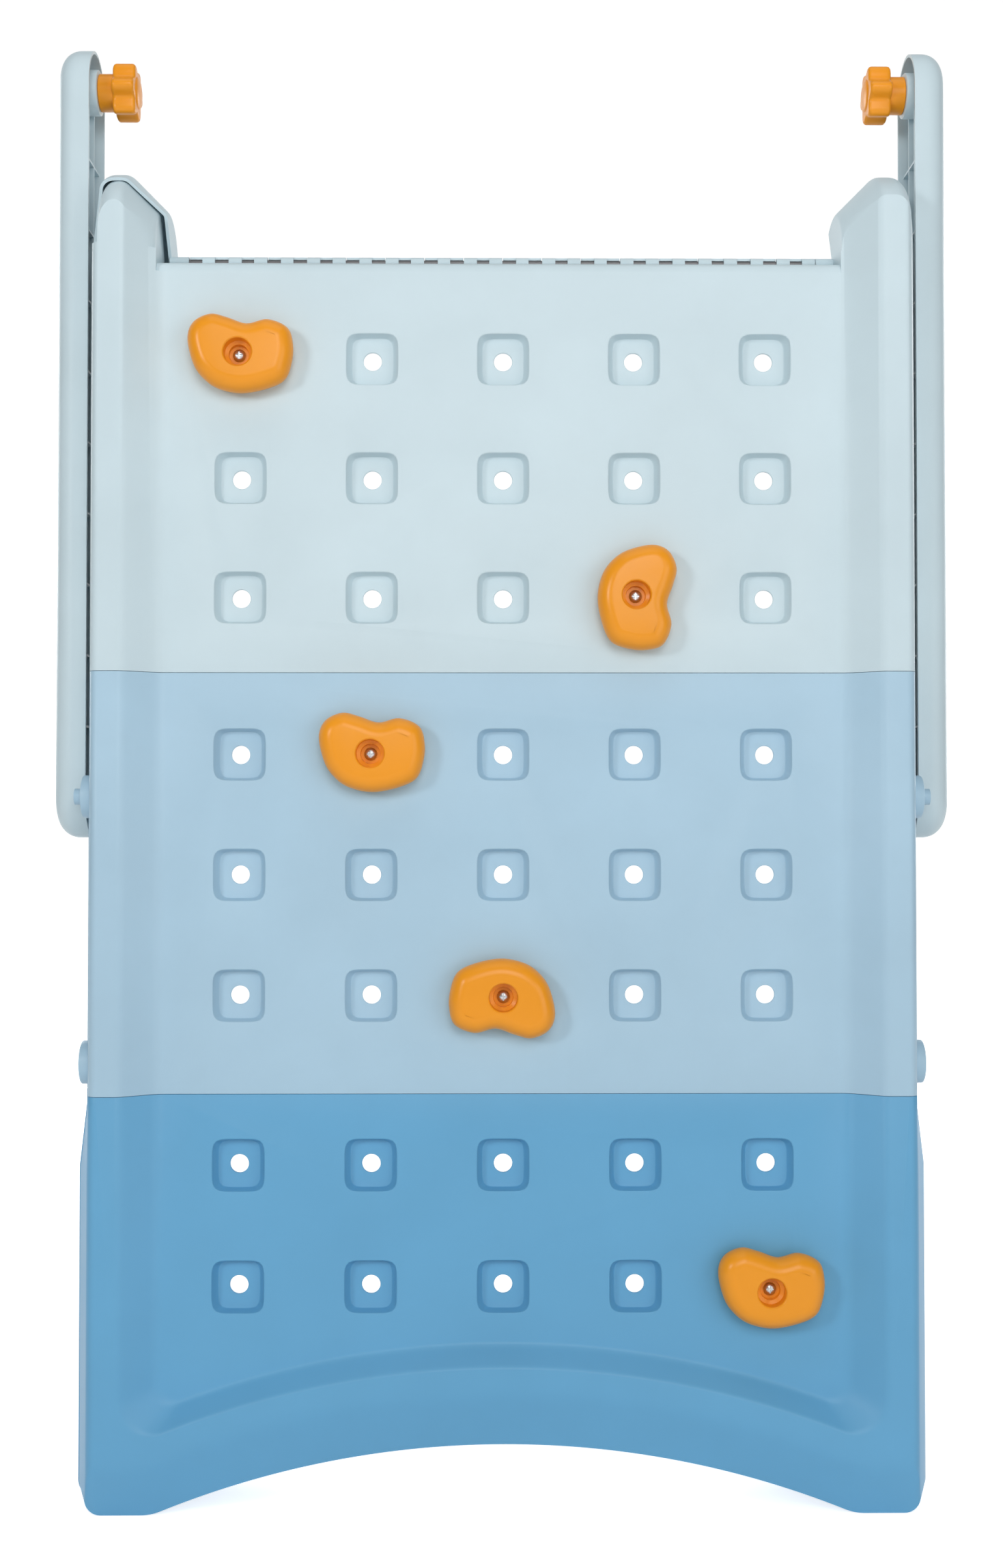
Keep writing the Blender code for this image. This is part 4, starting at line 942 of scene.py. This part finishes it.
def hold_piece(name, plug_depth):
    """One hold on the axis of its bolt."""
    base = -FACE_DEPTH - HOLD_GAP
    profile = [(0.0, 0.0046), (0.010, 0.0040), (0.05, 0.0034), (0.18, 0.0020), (0.34, 0.0004), (0.46, 0.0)]
    profile += [(0.46 + 0.54 * sin(a), 0.0175 * (1 - cos(a))) for a in (pi / 2 * i / 12 for i in range(1, 13))]
    loop = smooth_loop(HOLD_OUTLINE, 6)
    loops = [[(p.x - out.x * inset, base - HOLD_PROUD * rise, p.y - out.y * inset) for p, out in loop] for rise, inset in profile]
    piece = lofted(name, loops)
    plug = []
    for y, taper in ((base - 0.002, 0.0), (-FACE_DEPTH, 0.0), (-FACE_DEPTH + plug_depth, SEAT_SIDE_TAPER * plug_depth / SEAT_SINK)):
        plug.append(pillow(y, SEAT_HALF - taper - PLUG_GAP, SEAT_HALF - taper - PLUG_GAP))
    worked(piece, lofted("plug", plug), "UNION")
    front = base - HOLD_PROUD
    seat = front + COUNTERBORE_DEPTH
    worked(piece, turned("counterbore", "Y", (0, 0, 0), [
        (front - 0.01, COUNTERBORE + 0.0016), (front, COUNTERBORE + 0.0014), (front + 0.0005, COUNTERBORE + 0.0006),
        (front + 0.0014, COUNTERBORE), (seat - 0.008, COUNTERBORE - 0.0005), (seat - 0.006, 0.0115), (seat, 0.0110)], 64))
    worked(piece, turned("bolt_bore", "Y", (0, 0, 0), [(front, BOLT + 0.0006), (0.0, BOLT + 0.0006)], 32))
    return piece


def bolt_piece(name):
    """Round headed bolt with a cross recess."""
    seat = -FACE_DEPTH - 2 * HOLD_GAP - HOLD_PROUD + COUNTERBORE_DEPTH
    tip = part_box("hold_bolt_top_left")[1].y
    crown = [(seat - 0.005 + 0.0048 * (1 - cos(a)), BOLT_HEAD * sin(a)) for a in (pi / 2 * (i + 1) / 9 for i in range(9))]
    piece = turned(name, "Y", (0, 0, 0), crown + [(seat, BOLT_HEAD), (seat, BOLT), (tip - 0.001, BOLT), (tip, BOLT - 0.001)], 48)
    half, blade, deep = 0.0042, 0.0007, 0.0022
    top = seat - 0.005
    for across in ((half, blade), (blade, half)):
        worked(piece, block("recess", (-across[0], top - 0.002, -across[1]), (across[0], top + deep, across[1])))
    return piece


orange = moulded_plastic("orange_plastic", (0.87, 0.32, 0.012), 0.30)

for hold_name, hold_x, hold_z, hold_turn in HOLD_PLACES:
    hold = hold_piece("hold_body_" + hold_name, PLUG_DEPTH)
    bolt = bolt_piece("bolt_" + hold_name)
    turn = Matrix.Translation((hold_x, 0, hold_z)) @ Matrix.Rotation(radians(-hold_turn), 4, "Y")
    hold.data.transform(turn)
    bolt.data.transform(turn)
    set_in_place(hold, "hold_" + hold_name, orange)
    set_in_place(bolt, "hold_bolt_" + hold_name, steel)
    nut = frame["nodes"]["hold_nut_" + hold_name]
    nut.data.materials.clear()
    nut.data.materials.append(steel)

# Pivot pins: steel, through the upper bosses of the rear wall into the feet of the arms.

for pin_name in ("left_pivot_pin", "right_pivot_pin"):
    pin = frame["nodes"][pin_name]
    pin.data.materials.clear()
    pin.data.materials.append(steel)

# Lock arms: pale blue channels with fully round ends, their open side towards the wall. Two
# lengthwise ribs and a ladder of cross ribs stiffen each, and a round boss stands at each end.

PIVOT_HEIGHT = 0.8065
PIVOT_BACK = 0.037
ARM_HALF_DEPTH = 0.047
ARM_INNER = 0.4845
ARM_OUTER = 0.523
ARM_ROUND = 0.024
ARM_BOSS = 0.0262
ARM_BOSS_FACE = 0.4805
ARM_RIBS = 9
ARM_RIB_HALF = 0.0012
ARM_RIB_SPREAD = 0.0145
ARM_RIB_SET_BACK = 0.006
PIN_BORE = 0.0083
STUD_BORE = 0.0103


def arm_piece(node, side):
    """One arm on its own side of the wall."""
    low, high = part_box(node)
    top = high.z - ARM_HALF_DEPTH
    piece = block(node + "_channel", (ARM_INNER, low.y, low.z), (ARM_OUTER, high.y, high.z))
    def runs_across(edge):
        return abs(edge.verts[0].co.x - edge.verts[1].co.x) > 0.01
    select_where(piece, "EDGE", runs_across)
    bpy.ops.mesh.bevel(offset=ARM_HALF_DEPTH * 0.99999, segments=24, affect="EDGES")
    bpy.ops.mesh.select_all(action="SELECT")
    bpy.ops.mesh.remove_doubles(threshold=0.00002)
    bpy.ops.object.mode_set(mode="OBJECT")
    select_where(piece, "EDGE", lambda edge: all(vertex.co.x > ARM_OUTER - 1e-5 for vertex in edge.verts))
    bpy.ops.mesh.bevel(offset=ARM_ROUND, segments=12, affect="EDGES")
    bpy.ops.object.mode_set(mode="OBJECT")
    hollow(piece, lambda face: face.normal.x < -0.99)
    plate = ARM_OUTER - WALL / 2
    inner = ARM_INNER + ARM_RIB_SET_BACK
    ribs = []
    for spread in (-ARM_RIB_SPREAD, ARM_RIB_SPREAD):
        y = PIVOT_BACK + spread
        ribs.append(block("long_rib", (inner, y - ARM_RIB_HALF, PIVOT_HEIGHT), (plate, y + ARM_RIB_HALF, top)))
    reach = ARM_HALF_DEPTH - WALL / 2
    length = top - PIVOT_HEIGHT
    for i in range(1, ARM_RIBS + 1):
        z = PIVOT_HEIGHT + length * i / (ARM_RIBS + 1)
        rib = block("cross_rib", (inner, PIVOT_BACK - reach, z - ARM_RIB_HALF), (plate, PIVOT_BACK + reach, z + ARM_RIB_HALF))
        select_where(rib, "EDGE", lambda edge: all(vertex.co.x > plate - 1e-5 for vertex in edge.verts) and abs(edge.verts[0].co.z - edge.verts[1].co.z) > 1e-4)
        bpy.ops.mesh.bevel(offset=ARM_ROUND - WALL, segments=8, affect="EDGES")
        bpy.ops.object.mode_set(mode="OBJECT")
        ribs.append(rib)
    edge = 0.0012
    bosses, bores = [], []
    for z, bore in ((PIVOT_HEIGHT, PIN_BORE), (top, STUD_BORE)):
        centre = (0, PIVOT_BACK, z)
        bosses.append(turned("arm_boss", "X", centre, [
            (ARM_BOSS_FACE, ARM_BOSS - edge), (ARM_BOSS_FACE + edge * 0.3, ARM_BOSS - edge * 0.3), (ARM_BOSS_FACE + edge, ARM_BOSS), (plate, ARM_BOSS)], 72))
        bores.append(turned("arm_bore", "X", centre, [(ARM_BOSS_FACE - 0.01, bore), (plate - 0.004, bore)], 32))
    worked(piece, together("long_ribs", ribs[:2]), "UNION")
    worked(piece, together("cross_ribs", ribs[2:]), "UNION")
    worked(piece, together("arm_bosses", bosses), "UNION")
    worked(piece, together("arm_bores", bores))
    if side < 0:
        take(piece)
        bpy.ops.transform.mirror(constraint_axis=(True, False, False), center_override=(0, 0, 0))
        bpy.ops.object.transform_apply(location=True, rotation=True, scale=True)
        outwards(piece)
    return piece


for arm_name, arm_side in (("left_arm", -1), ("right_arm", 1)):
    arm = arm_piece(arm_name, arm_side)
    set_in_place(arm, arm_name, pale_blue)

# Knobs: orange, one at the top of each arm, pointing inwards on a thick round shank. The head is
# a lobed grip with scallops round it, edges softened and its face slightly domed.

KNOB_RADIUS = 0.0335
KNOB_LOBES = 6
KNOB_SCALLOP = 0.0084
KNOB_SHANK = 0.0218
KNOB_STUD = 0.010
KNOB_STUD_LENGTH = 0.026
KNOB_THICKNESS = 0.027
KNOB_DOME = 0.004
KNOB_EDGE = 0.0045


def knob_piece(node, side):
    """One knob: its head inside the wall's side, its stud in the top boss of the arm."""
    low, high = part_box(node)
    z = (low.z + high.z) / 2
    ends = sorted((abs(low.x), abs(high.x)))
    shoulder = ends[1] - KNOB_STUD_LENGTH
    front = ends[0] + KNOB_DOME
    back = front + KNOB_THICKNESS
    rounds = [(KNOB_EDGE * (1 - cos(a)), KNOB_EDGE * (1 - sin(a))) for a in (pi / 2 * i / 6 for i in range(7))]
    levels = [(back - inset, edge) for inset, edge in rounds] + [(front + inset, edge) for inset, edge in rounds[::-1]]
    loops = []
    for x, edge in levels:
        loop = []
        for i in range(144):
            angle = 2 * pi * i / 144
            r = KNOB_RADIUS - edge - KNOB_SCALLOP * (1 - cos(KNOB_LOBES * angle)) / 2
            loop.append((side * x, PIVOT_BACK + r * cos(angle), z + r * sin(angle)))
        loops.append(loop)
    head = lofted(node + "_head", loops)
    centre = (0, PIVOT_BACK, z)
    cap = KNOB_RADIUS - KNOB_EDGE - KNOB_SCALLOP - 0.002
    dome = [(front + 0.001, cap)] + [(front - KNOB_DOME * sin(a), cap * cos(a)) for a in (pi / 2 * i / 10 for i in range(10))]
    worked(head, turned("dome", "X", centre, [(side * x, r) for x, r in dome + [(front - KNOB_DOME, 0.001)]], 72), "UNION")
    shank = [(back - 0.002, KNOB_SHANK), (shoulder - 0.001, KNOB_SHANK), (shoulder, KNOB_SHANK - 0.001), (shoulder, KNOB_STUD),
             (ends[1] - 0.001, KNOB_STUD), (ends[1], KNOB_STUD - 0.001)]
    worked(head, turned("shank", "X", centre, [(side * x, r) for x, r in shank], 72), "UNION")
    return head


for knob_name, knob_side in (("left_knob", -1), ("right_knob", 1)):
    set_in_place(knob_piece(knob_name, knob_side), knob_name, orange)
